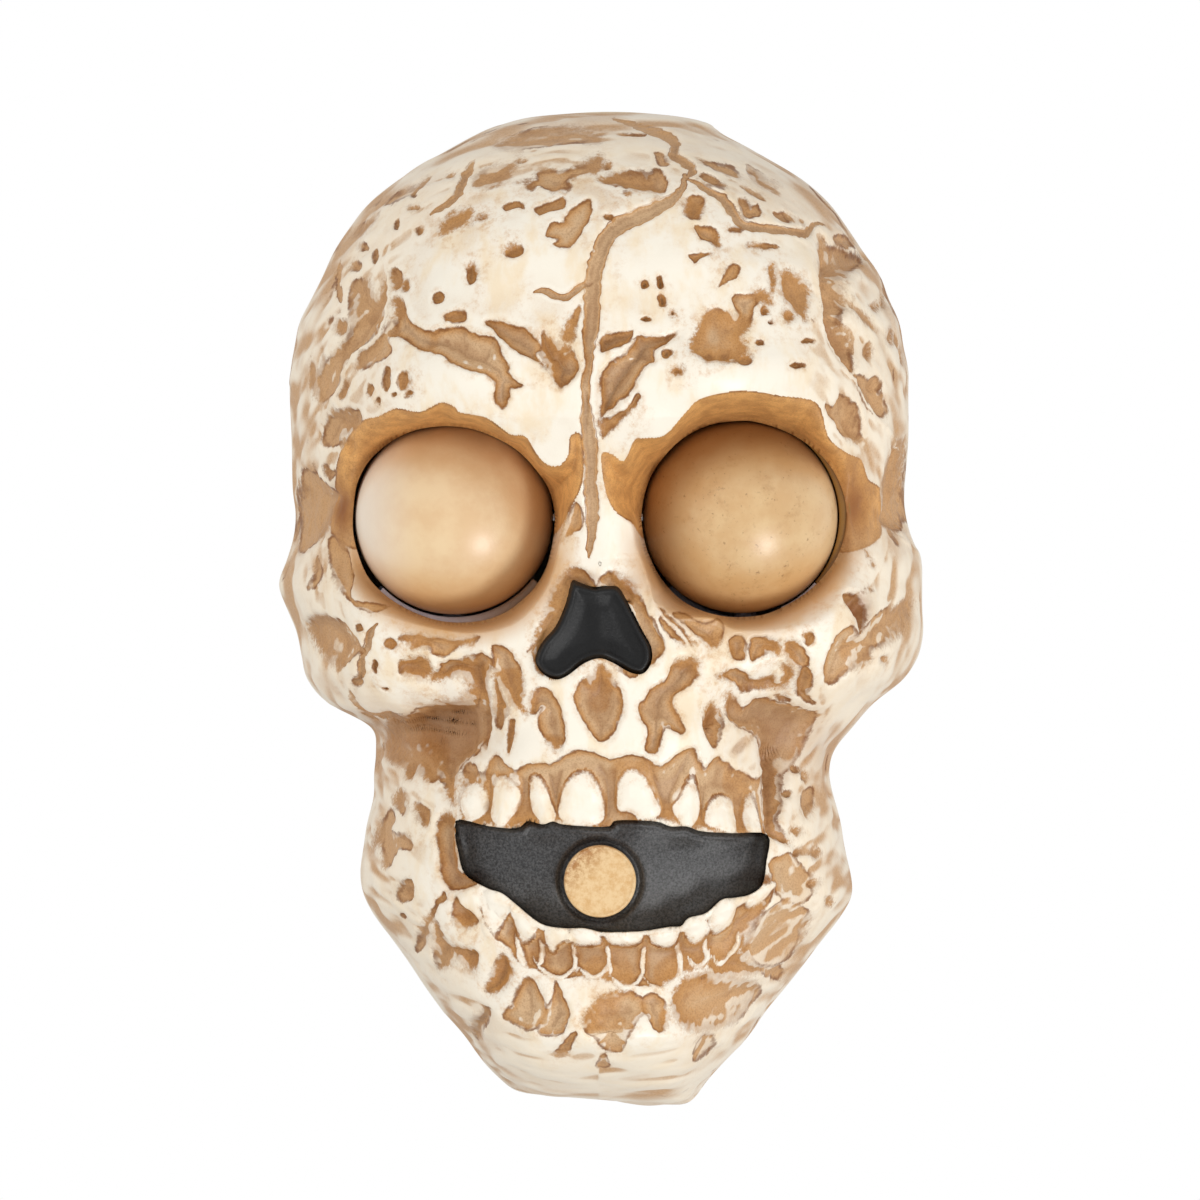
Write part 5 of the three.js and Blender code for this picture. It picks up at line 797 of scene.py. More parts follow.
def line_distance(line, across, down, closed=True):
    """How far places are from a line, the nearest place on it and the share of the line passed there."""
    starts = line if closed else line[:-1]
    ends = np.roll(line, -1, 0) if closed else line[1:]
    best = np.full(across.shape, np.inf)
    near_across, near_down, passed = across.copy(), down.copy(), np.zeros(across.shape)
    for i, ((a0, d0), (a1, d1)) in enumerate(zip(starts, ends)):
        run_a, run_d = a1 - a0, d1 - d0
        share = ((across - a0) * run_a + (down - d0) * run_d) / max(run_a**2 + run_d**2, TINY)
        share = np.clip(share, 0, 1)
        at_a, at_d = a0 + share * run_a, d0 + share * run_d
        away = np.hypot(across - at_a, down - at_d)
        nearer = away < best
        best[nearer] = away[nearer]
        near_across[nearer] = at_a[nearer]
        near_down[nearer] = at_d[nearer]
        passed[nearer] = (i + share[nearer]) / len(starts)
    return best, near_across, near_down, passed


def is_inside(line, across, down):
    inside = np.zeros(across.shape, bool)
    for (a0, d0), (a1, d1) in zip(line, np.roll(line, -1, 0)):
        if d0 == d1:
            continue
        crosses = (d0 > down) != (d1 > down)
        inside ^= crosses & (across < (a1 - a0) * (down - d0) / (d1 - d0) + a0)
    return inside


def signed(line, across, down):
    """Distance into a closed line (above 0 inside it), and the nearest place on it."""
    away, near_across, near_down, _ = line_distance(line, across, down)
    return np.where(is_inside(line, across, down), away, -away), near_across, near_down


def to_x(across):
    return (across - MIDDLE_ACROSS) * PIXEL


def to_z(down):
    return (MIDDLE_DOWN - down) * PIXEL


# Meshes


def sheet_quads(index):
    """Four-sided faces of a grid of points."""
    return np.stack([index[:-1, :-1], index[1:, :-1], index[1:, 1:], index[:-1, 1:]], -1).reshape(-1, 4)


def ring_quads(index):
    """Four-sided faces of a grid of points whose rows are closed rings."""
    following = np.roll(index, -1, 1)
    return np.stack([index[:-1], following[:-1], following[1:], index[1:]], -1).reshape(-1, 4)


def turned_over(quads):
    return quads[:, [0, 3, 2, 1]]


def piece(name, points, quads, body, material):
    """A smooth mesh of four-sided faces that rides on a body."""
    points, quads = np.asarray(points, np.float32), np.asarray(quads, np.int32)
    mesh = bpy.data.meshes.new(name)
    mesh.vertices.add(len(points))
    mesh.vertices.foreach_set("co", points.ravel())
    mesh.loops.add(quads.size)
    mesh.loops.foreach_set("vertex_index", quads.ravel())
    mesh.polygons.add(len(quads))
    mesh.polygons.foreach_set("loop_start", np.arange(0, quads.size, 4, dtype=np.int32))
    mesh.update(calc_edges=True)
    mesh.validate()
    mesh.shade_smooth()
    mesh.materials.append(material)
    made = bpy.data.objects.new(name, mesh)
    bpy.context.scene.collection.objects.link(made)
    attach(made, body)
    return made


def lathe(name, profile, x, z, body, material, steps=96):
    """A round piece about a line along the depth, from its radius and depth pairs, front to back."""
    radius, depth = np.array(profile).T
    angle = np.linspace(0, 2 * math.pi, steps, endpoint=False)
    ring_x = x + radius[:, None] * np.sin(angle)
    ring_z = z + radius[:, None] * np.cos(angle)
    points = np.stack([ring_x, np.repeat(-depth[:, None], steps, 1), ring_z], -1).reshape(-1, 3)
    index = np.arange(len(radius) * steps).reshape(len(radius), steps)
    return piece(name, points, turned_over(ring_quads(index)), body, material)


# The skull's plain form

down_rows, left_rows, right_rows = rounded(OUTLINE, closed=False).T
edge_z = to_z(down_rows)
edge_left = to_x(left_rows)
edge_right = to_x(right_rows)


def row_edges(z):
    order = np.argsort(edge_z)
    return [np.interp(z, edge_z[order], edge[order]) for edge in (edge_left, edge_right)]


def bone_depth(x, z):
    """Depth of the bone's plain form before anything is carved."""
    left_x, right_x = row_edges(z)
    centre = (left_x + right_x) / 2
    half = np.maximum((right_x - left_x) / 2, TINY)
    up = np.clip(z / HALF_HEIGHT, -1, 1)
    side = np.clip(np.abs(x - centre) / half, 0, 1)
    power = np.where(up > 0, CROWN_POWER, CHIN_POWER)
    fall = np.sqrt(np.maximum(1 - np.abs(up) ** power, 0)) * np.sqrt(1 - side**ROUNDING_POWER)
    heights, shares = zip(*PROFILE_SHARES)
    middle = np.interp(up, heights, shares)
    for across, high, wide, tall, rise in RELIEF_SHARES:
        wide_share = (np.abs(x - centre) / HALF_WIDTH - across) / wide
        tall_share = (up - high) / tall
        middle = middle + rise * np.exp(-(wide_share**2) - tall_share**2)
    return SKULL_DEPTH * middle * fall


def outline_reach(angles):
    """How far the outline is from the pole at each angle from straight up, turning to the right."""
    xs = np.concatenate([edge_right, edge_left[::-1]])
    zs = np.concatenate([edge_z, edge_z[::-1]]) - POLE_Z
    around = np.arctan2(xs, zs)
    order = np.argsort(around)
    full = 2 * math.pi
    fine = np.linspace(-math.pi, math.pi, REACH_STEPS, endpoint=False)
    values = np.interp(fine, around[order], np.hypot(xs, zs)[order], period=full)
    kernel = np.exp(-0.5 * (np.arange(-REACH_SPREAD, REACH_SPREAD + 1) / REACH_BLUR) ** 2)
    kernel /= kernel.sum()
    padded = np.concatenate([values[-REACH_SPREAD:], values, values[:REACH_SPREAD]])
    values = np.convolve(padded, kernel, "valid")
    return np.interp((angles + math.pi) % full - math.pi, fine, values, period=full)


def skull_grid():
    ring_share = np.sin(np.arange(1, RINGS + 1) / RINGS * math.pi / 2)
    angles = np.arange(ROUND) / ROUND * 2 * math.pi
    radius = ring_share[:, None] * outline_reach(angles)[None, :]
    x = radius * np.sin(angles)
    z = POLE_Z + radius * np.cos(angles)
    return np.append(0, x.ravel()), np.append(POLE_Z, z.ravel())


def grid_normals(points):
    """Outward directions of the grid's points, from their neighbours."""
    grid = points[1:].reshape(RINGS, ROUND, 3)
    out = np.empty_like(grid)
    out[1:-1] = grid[2:] - grid[:-2]
    out[0] = grid[1] - points[0]
    out[-1] = grid[-1] - grid[-2]
    along = np.roll(grid, -1, 1) - np.roll(grid, 1, 1)
    normal = np.cross(along, out).reshape(-1, 3)
    normal = np.concatenate([[[0, -1, 0]], normal])
    normal /= np.maximum(np.linalg.norm(normal, axis=1, keepdims=True), TINY)
    return normal


# What is carved into it


class Carving:
    """What is carved into the plain form or built on it: rises in metres, and how far it is into the wash."""

    def __init__(self, across, down):
        self.across = across
        self.down = down
        self.wash = np.full(len(across), -1.0)
        self.rise, self.grey, self.soft, self.pit = np.zeros((4, len(across)))
        self.smear, self.amber, self.socket, self.shade = np.zeros((4, len(across)))

    def near(self, line, margin):
        """The places within a margin of a line's box, and where they are."""
        low, high = line.min(0) - margin, line.max(0) + margin
        at = np.flatnonzero(
            (self.across > low[0]) & (self.across < high[0]) & (self.down > low[1]) & (self.down < high[1])
        )
        return at, self.across[at], self.down[at]

    def hollow(self, points, deep, lip):
        line = rounded(points)
        at, across, down = self.near(line, MARK_MARGIN)
        into, _, _ = signed(line, across, down)
        lips = lip * (1 + SOFT_LIP * self.soft[at])
        size = np.minimum(*(line.max(0) - line.min(0)))
        step = smooth(-lips, lips, into)
        bowl = smooth(0, min(BOWL_PIXELS, size / 2), into)
        self.rise[at] -= CARVE_TIMES * deep * (STEP_SHARE * step + BOWL_SHARE * bowl)
        wash = into / (WASH_PIXELS * (1 + SOFT_TIMES * self.soft[at]))
        self.wash[at] = np.maximum(self.wash[at], wash)
        pit = np.clip(1 - size / SMALL_PIXELS, 0, 1)
        self.pit[at] = np.where(into > -PIT_MARGIN, pit, self.pit[at])

    def from_line(self, points, half_wide):
        """The places near an open line, how far they are from it and how much of it is passed there."""
        line = rounded(points, closed=False)
        at, across, down = self.near(line, 3 * half_wide + LINE_MARGIN)
        away, _, _, passed = line_distance(line, across, down, closed=False)
        return at, away, passed

    def groove(self, points, half_wide, deep):
        at, away, passed = self.from_line(points, half_wide)
        taper = np.minimum(1, TAPER_TIMES * np.minimum(passed + GROOVE_END, 1 + GROOVE_END - passed))
        wide = half_wide * taper
        outer, inner = GROOVE_SIDES
        self.rise[at] -= deep * taper * smooth(wide * outer, wide * inner, away)
        self.wash[at] = np.maximum(self.wash[at], (wide - away) * GROOVE_PALER / WASH_PIXELS)

    def ridge(self, points, half_wide, tall):
        at, away, passed = self.from_line(points, half_wide)
        taper = np.minimum(1, TAPER_TIMES * np.minimum(passed, 1 - passed))
        self.rise[at] += tall * taper * bell(away, half_wide)
        clean = half_wide * taper * RIDGE_CLEAN
        self.wash[at] = np.minimum(self.wash[at], (away - clean) / WASH_PIXELS)

    def tooth(self, points, tall, lip, upper):
        corners = np.array(points)
        low, high = corners[:, 1].min(), corners[:, 1].max()
        tip, root = (high, low) if upper else (low, high)
        corners[:, 1] = tip + (corners[:, 1] - tip) * ROOT_TIMES
        line = rounded(corners)
        at, across, down = self.near(line, MARK_MARGIN)
        into, _, _ = signed(line, across, down)
        full = np.sqrt(np.clip((into + lip * TOOTH_OUT) / (lip * TOOTH_LIPS), 0, 1))
        from_root = (down - root) / (tip - root)
        self.rise[at] += tall * full * smooth(1 - ROOT_TIMES, ROOT_SHARE, from_root)
        in_crown, _, _ = signed(rounded(points), across, down)
        slower = 1 + CROWN_SOFT * smooth(CROWN_SHARE, 0, from_root)
        wash = np.minimum(self.wash[at], -in_crown / (WASH_PIXELS * slower))
        self.wash[at] = np.where(in_crown > -CROWN_MARGIN, wash, self.wash[at])


def marks(table):
    """Each row of a table of marks, with its view."""
    return [(view, row) for view, rows in table.items() for row in rows]


def placed(view, points):
    """Corners from an enlarged view, as pixels of the photograph."""
    left, top, scale = view
    return [(left + across / scale, top + down / scale) for across, down in points]


def oval(across, down, wide, tall):
    turns = [2 * math.pi * i / PIT_CORNERS for i in range(PIT_CORNERS)]
    return [(across + wide * math.cos(t), down + tall * math.sin(t)) for t in turns]


def carve_marks(carving):
    for view, (deep, lip, points) in marks(TEETH_BANDS) + marks(HOLLOWS):
        carving.hollow(placed(view, points), deep * MM, lip)
    for view, pit in marks(PITS):
        carving.hollow(placed(view, oval(*pit)), PIT_DEEP, PIT_LIP)
    for view, (half_wide, deep, points) in marks(GROOVES):
        carving.groove(placed(view, points), half_wide, deep * MM)
    for view, (half_wide, tall, points) in marks(RIDGES):
        carving.ridge(placed(view, points), half_wide, tall * MM)


def build_teeth(carving):
    for view, (tall, lip, points) in marks(TEETH):
        carving.tooth(placed(view, points), tall * MM, lip, upper=view == MOUTH_VIEW)


def lid_depth(name, across, down):
    """Depth of a lid's face at places on it, and of its middle beside it."""
    middle_across, middle_down, radius = LIDS[name]
    away = np.hypot(across - middle_across, down - middle_down)
    return EYE_DEPTH + PIXEL * np.sqrt(np.maximum(radius**2 - away**2, 0))


def mouth_depth(across, down):
    """Depth of the mouth insert's plain face, which bends back at its ends and below."""
    tuck = np.maximum(down - MOUTH_TOP, 0) * PIXEL
    bend = np.sqrt(np.maximum(MOUTH_RADIUS**2 - to_x(across) ** 2, 0))
    return MOUTH_DEPTH - MOUTH_RADIUS + bend - tuck**2 / (2 * MOUTH_TUCK)


def carve_sockets(carving, depth):
    """Bends the bone down to the holes round the lids, and washes it amber above; below, it is greyer with
    painted shade by the hole.
    """
    for name, edge in SOCKET_EDGES.items():
        into, _, _ = signed(rounded(edge), carving.across, carving.down)
        in_hole, near_a, near_d = signed(rounded(HOLES[name]), carving.across, carving.down)
        from_hole = -in_hole
        share = np.clip(from_hole / np.maximum(from_hole + np.maximum(into, 0), TINY), 0, 1)
        share = np.where((into > 0) | (from_hole < 0), share, 1)
        floor = np.maximum(HOLE_DEPTH, lid_depth(name, near_a, near_d) + LID_GAP)
        floor = np.minimum(floor, depth - SOCKET_UNDER)
        depth = floor + (depth - floor) * (1 - (1 - share) ** SOCKET_POWER)
        _, middle_down, radius = LIDS[name]
        low = smooth(*SOCKET_SOFT, (carving.down - middle_down) / radius)
        wash = into / WASH_PIXELS
        carving.wash = np.where(into > 0, np.maximum(carving.wash, wash * (1 - low) - low), carving.wash)
        # Painted shade on the lower side, by the hole
        fade = SOCKET_FADE_SHARE * low * smooth(SOCKET_FADE, SOCKET_EDGE, from_hole)
        carving.shade = np.maximum(carving.shade, fade)
        carving.smear = carving.smear * np.where(into > 0, 1 - low, 1)
        carving.amber = np.where(into > 0, 1 - low, carving.amber)
        carving.pit = np.where(into > 0, 0, carving.pit)
        carving.socket = np.maximum(carving.socket, smooth(-SOCKET_EDGE, SOCKET_EDGE, into))
    return depth


def mottle(carving, plain, facing):
    """Chips and soft smears of wash all over, and streaks along the sides, where the bone faces away."""
    on_side = smooth(*SIDE_FACING, facing)
    field = (layered(plain, *CHIPS) - CHIP_LEVEL) * CHIP_TIMES
    field += (layered(plain, *SMALL_CHIPS) - NOISE_MIDDLE) * SMALL_CHIP_TIMES
    field -= CHIPS_ON_SIDE * on_side
    smudge = smooth(*SMUDGE_LEVELS, layered(plain, *SMUDGES))
    for across, down, wide, tall, clean in CLEAN:
        near = bell(carving.across - across, wide) * bell(carving.down - down, tall)
        field -= clean * near
        smudge *= 1 - min(clean, 1) * near
    angle = np.arctan2(plain[:, 0], plain[:, 2] - POLE_Z)
    radius = np.hypot(plain[:, 0], plain[:, 2] - POLE_Z)
    stretched = [angle * HALF_HEIGHT / STREAK_LONG, radius / STREAK_THICK, plain[:, 1] / STREAK_LONG]
    streak = (layered(np.stack(stretched, 1), *STREAKS) - NOISE_MIDDLE) * STREAK_TIMES
    carving.grey = on_side
    carving.smear = np.maximum(SMUDGE_SHARE * smudge, on_side * smooth(*STREAK_SMEAR, streak))
    carving.soft = smooth(*SOFT_LEVELS, layered(plain, *SOFT_PATCHES) + SOFT_ON_SIDE * on_side)
    carving.rise += UNEVEN * (layered(plain, *UNEVENNESS) - NOISE_MIDDLE)
    carving.rise -= CHIP_DEEP * smooth(*CHIP_SIDES, field)
    carving.rise -= STREAK_DEEP * on_side * smooth(*STREAK_SIDES, streak)
    carving.wash = np.maximum(carving.wash, field * CHIP_WASH)


def wandering(plain, seed):
    """How far the marks' edges wander one way, in pixels."""
    broad = layered(plain, WANDER_SIZE, seed, 3) - NOISE_MIDDLE
    fine = noise(plain, JITTER_SIZE, seed + JITTER_SEEDS) - NOISE_MIDDLE
    return WANDER * broad + JITTER * fine


def bilinear(grid, row, column):
    """A grid's values between its cells; the columns go round."""
    row = np.clip(row, 0, grid.shape[0] - GRID_END)
    low, left = np.floor(row).astype(int), np.floor(column).astype(int)
    row_part, column_part = row - low, column - left
    left, right = left % grid.shape[1], (left + 1) % grid.shape[1]
    upper = grid[low, left] * (1 - column_part) + grid[low, right] * column_part
    lower = grid[low + 1, left] * (1 - column_part) + grid[low + 1, right] * column_part
    return upper * (1 - row_part) + lower * row_part


def recesses(x, z, depth):
    """How far each place lies below what is round it, at several sizes, from -1 to 1."""
    columns = np.arange(-HALF_WIDTH - RIM_THICK, HALF_WIDTH + RIM_THICK, RECESS_STEP)
    rows = np.arange(-HALF_HEIGHT - RIM_THICK, HALF_HEIGHT + RIM_THICK, RECESS_STEP)
    grid_x, grid_z = np.meshgrid(columns, rows)
    angle = np.arctan2(grid_x, grid_z - POLE_Z) % (2 * math.pi)
    share = np.hypot(grid_x, grid_z - POLE_Z) / outline_reach(angle)
    ring = np.arcsin(np.clip(share, 0, 1)) / (math.pi / 2) * RINGS - 1
    image = bilinear(depth[1:].reshape(RINGS, ROUND), ring, angle / (2 * math.pi) * ROUND)
    image[share >= 1] = 0
    low, left = (np.fft.fftfreq(count, RECESS_STEP) for count in image.shape)
    wave = low[:, None] ** 2 + left[None, :] ** 2
    spectrum = np.fft.fft2(image)
    found = {}
    for name, sizes in RECESS_SIZES.items():
        total = 0
        for size in sizes:
            blurred = np.fft.ifft2(spectrum * np.exp(-2 * (math.pi * size) ** 2 * wave)).real
            total = total + np.clip((blurred - image) / (RECESS_SLOPE * size), -1, 1) / len(sizes)
        found[name] = bilinear(total, (z - rows[0]) / RECESS_STEP, (x - columns[0]) / RECESS_STEP)
    return found


def nose_back(across, down):
    return np.full(across.shape, NOSE_DEPTH - NOSE_WALL)


def mouth_back(across, down):
    return mouth_depth(across, down) - MOUTH_WALL


def hole_back(name, across, down):
    return np.maximum(HOLE_DEPTH - HOLE_WALL, lid_depth(name, across, down) + LID_GAP / 2)


def open_bone(points, places, edge, back):
    """Draws the bone to an opening's line and bends what is inside back to a depth; says what is inside."""
    into, near_across, near_down = signed(rounded(edge), *places)
    drawn = into > -EDGE_SNAP
    points[drawn, 0] = to_x(near_across[drawn])
    points[drawn, 2] = to_z(near_down[drawn])
    inside = into > 0
    points[inside, 1] = -back(near_across, near_down)[inside]
    return inside


def skull_quads(gone):
    """The skull's faces: four-sided ones round the pole and between the rings, without what is cut out."""
    index = 1 + np.arange(RINGS * ROUND).reshape(RINGS, ROUND)
    quads = ring_quads(index)
    quads = quads[~gone[quads].all(1)]
    first = np.append(index[0], index[0, 0])
    cap = np.stack([np.zeros(ROUND // 2, int), first[0:-1:2], first[1::2], first[2::2]], -1)
    return np.concatenate([cap, quads])


def skull():
    x, z = skull_grid()
    depth = bone_depth(x, z)
    depth[-ROUND:] = 0
    plain = np.stack([x, -depth, z], 1)
    normals = grid_normals(plain)
    across = x / PIXEL + MIDDLE_ACROSS
    down = MIDDLE_DOWN - z / PIXEL
    wander_across, wander_down = (wandering(plain, seed) for seed in WANDER_SEEDS)
    carving = Carving(across + wander_across, down + wander_down)
    mottle(carving, plain, -normals[:, 1])
    carve_marks(carving)
    carving.across, carving.down = across, down
    build_teeth(carving)
    deeper = carve_sockets(carving, depth)
    carving.rise *= smooth(*MARKS_START, depth / SKULL_DEPTH)
    points = plain + normals * carving.rise[:, None]
    points[:, 1] += depth - deeper
    gone = open_bone(points, (across, down), NOSE_EDGE, nose_back)
    gone |= open_bone(points, (across, down), MOUTH_EDGE, mouth_back)
    places = points[:, 0] / PIXEL + MIDDLE_ACROSS, MIDDLE_DOWN - points[:, 2] / PIXEL
    for name, edge in HOLES.items():
        gone |= open_bone(points, places, edge, functools.partial(hole_back, name))
    made = piece("skull", points, skull_quads(gone), "case", bone_material())
    names = ("wash", "grey", "soft", "pit", "smear", "amber", "shade")
    kept = {name: getattr(carving, name) for name in names}
    # The dark attribute is painted shade in the deepest hollows and corners
    spots = [share * bell(across - a, wide) * bell(down - d, tall) for a, d, wide, tall, share in SHADE_SPOTS]
    kept["dark"] = np.max(spots, 0)
    inward = smooth(*RECESSES_START, depth / SKULL_DEPTH)
    for name, values in recesses(x, z, deeper + carving.rise).items():
        kept[name] = values * inward * (1 - carving.socket)
    for name, values in kept.items():
        keep = made.data.attributes.new(name, "FLOAT", "POINT")
        keep.data.foreach_set("value", np.clip(values, -1, 1).astype(np.float32))
    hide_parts("skull_shell")


def skull_rim(material):
    """The shell's bare edge at the wall, round the rear cover."""
    angles = np.arange(ROUND) / ROUND * 2 * math.pi
    reach = outline_reach(angles)
    loops = []
    for inset, depth in ((0, 0), (RIM_THICK, 0), (RIM_THICK, RIM_TALL), (0, 0)):
        x, z = (reach - inset) * np.sin(angles), POLE_Z + (reach - inset) * np.cos(angles)
        loops.append(np.stack([x, np.full(ROUND, -depth), z], 1))
    index = np.arange(len(loops) * ROUND).reshape(-1, ROUND)
    piece("skull_rim", np.concatenate(loops), turned_over(ring_quads(index)), "case", material)


# Materials

# A noise's steps: from and to in its own value
CLOUDY = (0.35, 0.65)
BROAD_CLOUDY = (0.3, 0.7)
# The fine skin of moulded pieces: grain size and height
SKIN_GRAIN = 0.0006
SKIN_BUMP = 0.00003


def rgb(red, green, blue):
    """A colour as the eye reads it, 0 to 255, for a shader."""
    values = []
    for part in (red, green, blue):
        share = part / 255
        values.append(share / 12.92 if share <= 0.04045 else ((share + 0.055) / 1.055) ** 2.4)
    return (*values, 1)


class Surface:
    """A node material, built up call by call."""

    def __init__(self, name):
        self.material = bpy.data.materials.new(name)
        self.material.use_nodes = True
        self.tree = self.material.node_tree
        self.tree.nodes.clear()
        self.shader = self.node("BsdfPrincipled")
        out = self.node("OutputMaterial")
        self.tree.links.new(self.shader.outputs[0], out.inputs[0])
        self.place = self.node("TexCoord").outputs["Object"]

    def node(self, kind, **values):
        """A shader node, with what its inputs are fed."""
        made = self.tree.nodes.new("ShaderNode" + kind)
        for name, value in values.items():
            self.feed(made.inputs[name.replace("_", " ")], value)
        return made

    def feed(self, socket, value):
        if isinstance(value, bpy.types.NodeSocket):
            self.tree.links.new(value, socket)
        else:
            socket.default_value = value

    def set(self, **values):
        for name, value in values.items():
            self.feed(self.shader.inputs[name.replace("_", " ")], value)

    def attribute(self, name):
        node = self.node("Attribute")
        node.attribute_name = name
        return node.outputs["Fac"]

    def axis(self, name):
        return self.node("SeparateXYZ", Vector=self.place).outputs[name]

    def stretched(self, x, y, z):
        return self.node("Mapping", Vector=self.place, Scale=(x, y, z)).outputs[0]

    def grain(self, size, detail=4, rough=0.6, place=None):
        """Noise with grains of a size in metres."""
        given = {"Scale": 1 / size, "Detail": detail, "Roughness": rough}
        return self.node("TexNoise", Vector=place or self.place, **given).outputs["Fac"]

    def sum(self, a, b, how="ADD"):
        node = self.node("Math")
        node.operation = how
        self.feed(node.inputs[0], a)
        self.feed(node.inputs[1], b)
        return node.outputs[0]

    def minus(self, a, b):
        return self.sum(a, b, "SUBTRACT")

    def times(self, a, b):
        return self.sum(a, b, "MULTIPLY")

    def larger(self, a, b):
        return self.sum(a, b, "MAXIMUM")

    def ramp(self, value, low, high, to_low=0.0, to_high=1.0):
        """A soft step of value between low and high."""
        given = {"Value": value, "From_Min": low, "From_Max": high, "To_Min": to_low, "To_Max": to_high}
        node = self.node("MapRange", **given)
        node.interpolation_type = "SMOOTHSTEP"
        return node.outputs[0]

    def mix(self, share, a, b):
        """Colour a where share is 0 and b where it is 1."""
        node = self.node("Mix")
        node.data_type = "RGBA"
        for name, value in (("Factor", share), ("A", a), ("B", b)):
            self.feed(node.inputs[name], value)
        return node.outputs["Result"]

    def clouded(self, noise, a, b):
        """Clouds of two colours."""
        return self.mix(self.ramp(noise, *CLOUDY), a, b)

    def bump(self, height, deep):
        self.set(Normal=self.node("Bump", Distance=deep, Height=height).outputs[0])

    def skin(self, detail=2):
        self.bump(self.grain(SKIN_GRAIN, detail), SKIN_BUMP)


CREAM = rgb(250, 242, 226)
WARM_CREAM = rgb(245, 223, 188)
DULL_CREAM = rgb(247, 231, 206)
EDGE_TAN = rgb(198, 144, 84)
PALE_TAN = rgb(212, 176, 134)
GREY_TAN = rgb(204, 160, 112)
BROWN = rgb(122, 70, 24)
ORANGE = rgb(204, 148, 80)
AMBER = rgb(228, 170, 100)
SHADE_TAN = rgb(200, 152, 98)
# Painted shade of the deepest hollows and corners
SHADE_BROWN = rgb(140, 82, 32)
# Painted shade in broad recesses
HOLLOW_SHADE = rgb(156, 108, 62)

# The bone's noises: grain size in metres, layers of detail and roughness
BONE_GRAINS = {
    "grit": (0.0007, 5, 0.7),
    "specks": (0.0004, 3, 0.6),
    "patches": (0.003, 3, 0.6),
    "blotches": (0.0022, 6, 0.75),
    "amber": (0.004, 5, 0.6),
}
BRUSH_GRAIN = 0.007
BRUSH_STRETCH = (1, 1, 0.45)
BONE_BUMP = 0.00004
# The bone's steps: a value from and to, and for some of them the result at each end
BONE_STEPS = {
    "inside": (-0.05, 0.06),
    "worn off inside": (-0.3, -0.75, 1, 0.3),
    "low bone": (0.3, 1, 0, 0.75),
    "worn off outside": (-0.2, -0.6, 1, 0.15),
    "gritty": (0.2, 0.8, 0.8, 1.1),
    "line starts": (-0.1, 0.02),
    "line ends": (0.06, 0.3),
    "line is soft": (0, 1, 0.95, 0.3),
    "crease": (0.5, 1, 0, 0.35),
    "line is broken": (0.34, 0.6, 0.35, 1),
    "blush starts": (-0.8, 0),
    "blush ends": (0, 0.3),
    "blush is blotchy": (0.45, 0.7, 0.1, 1),
    "blush on grey": (0, 1, 0.6, 0.2),
    "further in": (0.3, 1.2),
    "small mark": (0, 0.6, 1, 0.35),
    "brushed": (0.44, 0.7, 0, 0.75),
    "hollow shade": (0.35, 1.1, 0, 0.4),
    "specks": (0.42, 0.72, 0, 0.34),
    "roughness": (0, 1, 0.36, 0.5),
}
# How strongly the grit moves the marks' edges and what is further in, and the strength of some colours
EDGE_GRIT = 0.3
INNER_GRIT = 0.6
GREY_CREAM = 0.7
LINE_STRENGTH = 0.85


def bone_material():
    made = Surface("bone")
    wash, soft, pit, grey = (made.attribute(name) for name in ("wash", "soft", "pit", "grey"))
    smear, amber, shade, dark = (made.attribute(name) for name in ("smear", "amber", "shade", "dark"))
    fine, broad = made.attribute("fine"), made.attribute("broad")
    grit, specks, patches, blotches, amber_clouds = (made.grain(*values) for values in BONE_GRAINS.values())

    def step(value, name):
        return made.ramp(value, *BONE_STEPS[name])

    edge = made.sum(wash, made.times(made.minus(grit, NOISE_MIDDLE), EDGE_GRIT))
    # The wash lies inside the marks, and thinly in the smears and in what is lower than its surroundings,
    # where it is also painted shade
    inside = made.times(step(edge, "inside"), step(fine, "worn off inside"))
    thin = made.larger(smear, step(broad, "low bone"))
    thin = made.times(made.times(thin, step(fine, "worn off outside")), step(grit, "gritty"))
    # A thin brown line just inside the marks' edges, broken here and there, and in the finest creases
    line = made.minus(step(edge, "line starts"), step(edge, "line ends"))
    line = made.larger(made.times(line, step(soft, "line is soft")), step(fine, "crease"))
    line = made.times(line, step(patches, "line is broken"))
    # An orange blush outside the edge
    blush = made.minus(step(wash, "blush starts"), step(wash, "blush ends"))
    blush = made.times(made.times(blush, step(blotches, "blush is blotchy")), step(grey, "blush on grey"))
    # Inside, the wash is orange by the edge and paler further in, but for the smallest marks
    deep_in = step(made.sum(wash, made.times(grit, INNER_GRIT)), "further in")
    deep_in = made.times(deep_in, step(pit, "small mark"))
    tan = made.mix(grey, made.mix(deep_in, EDGE_TAN, PALE_TAN), GREY_TAN)
    tan = made.mix(amber, tan, made.clouded(amber_clouds, AMBER, EDGE_TAN))
    brushed = step(made.grain(BRUSH_GRAIN, place=made.stretched(*BRUSH_STRETCH)), "brushed")
    cream = made.mix(made.times(grey, GREY_CREAM), made.mix(brushed, CREAM, WARM_CREAM), DULL_CREAM)
    colour = made.mix(thin, cream, made.mix(grey, PALE_TAN, GREY_TAN))
    colour = made.mix(inside, colour, tan)
    colour = made.mix(shade, colour, SHADE_TAN)
    colour = made.mix(blush, colour, ORANGE)
    colour = made.mix(made.times(line, LINE_STRENGTH), colour, BROWN)
    # Painted shade in the broad recesses
    colour = made.mix(step(broad, "hollow shade"), colour, HOLLOW_SHADE)
    worked = made.larger(inside, thin)
    colour = made.mix(made.times(step(specks, "specks"), worked), colour, BROWN)
    # Painted shade from the dark attribute in the deepest hollows and corners
    made.set(Base_Color=made.mix(dark, colour, SHADE_BROWN), Roughness=step(worked, "roughness"))
    made.bump(grit, BONE_BUMP)
    return made.material


PLASTIC_VARIES = 0.06
# The clouds in its gloss are this many times finer than those in its colour
GLOSS_FINER = 4


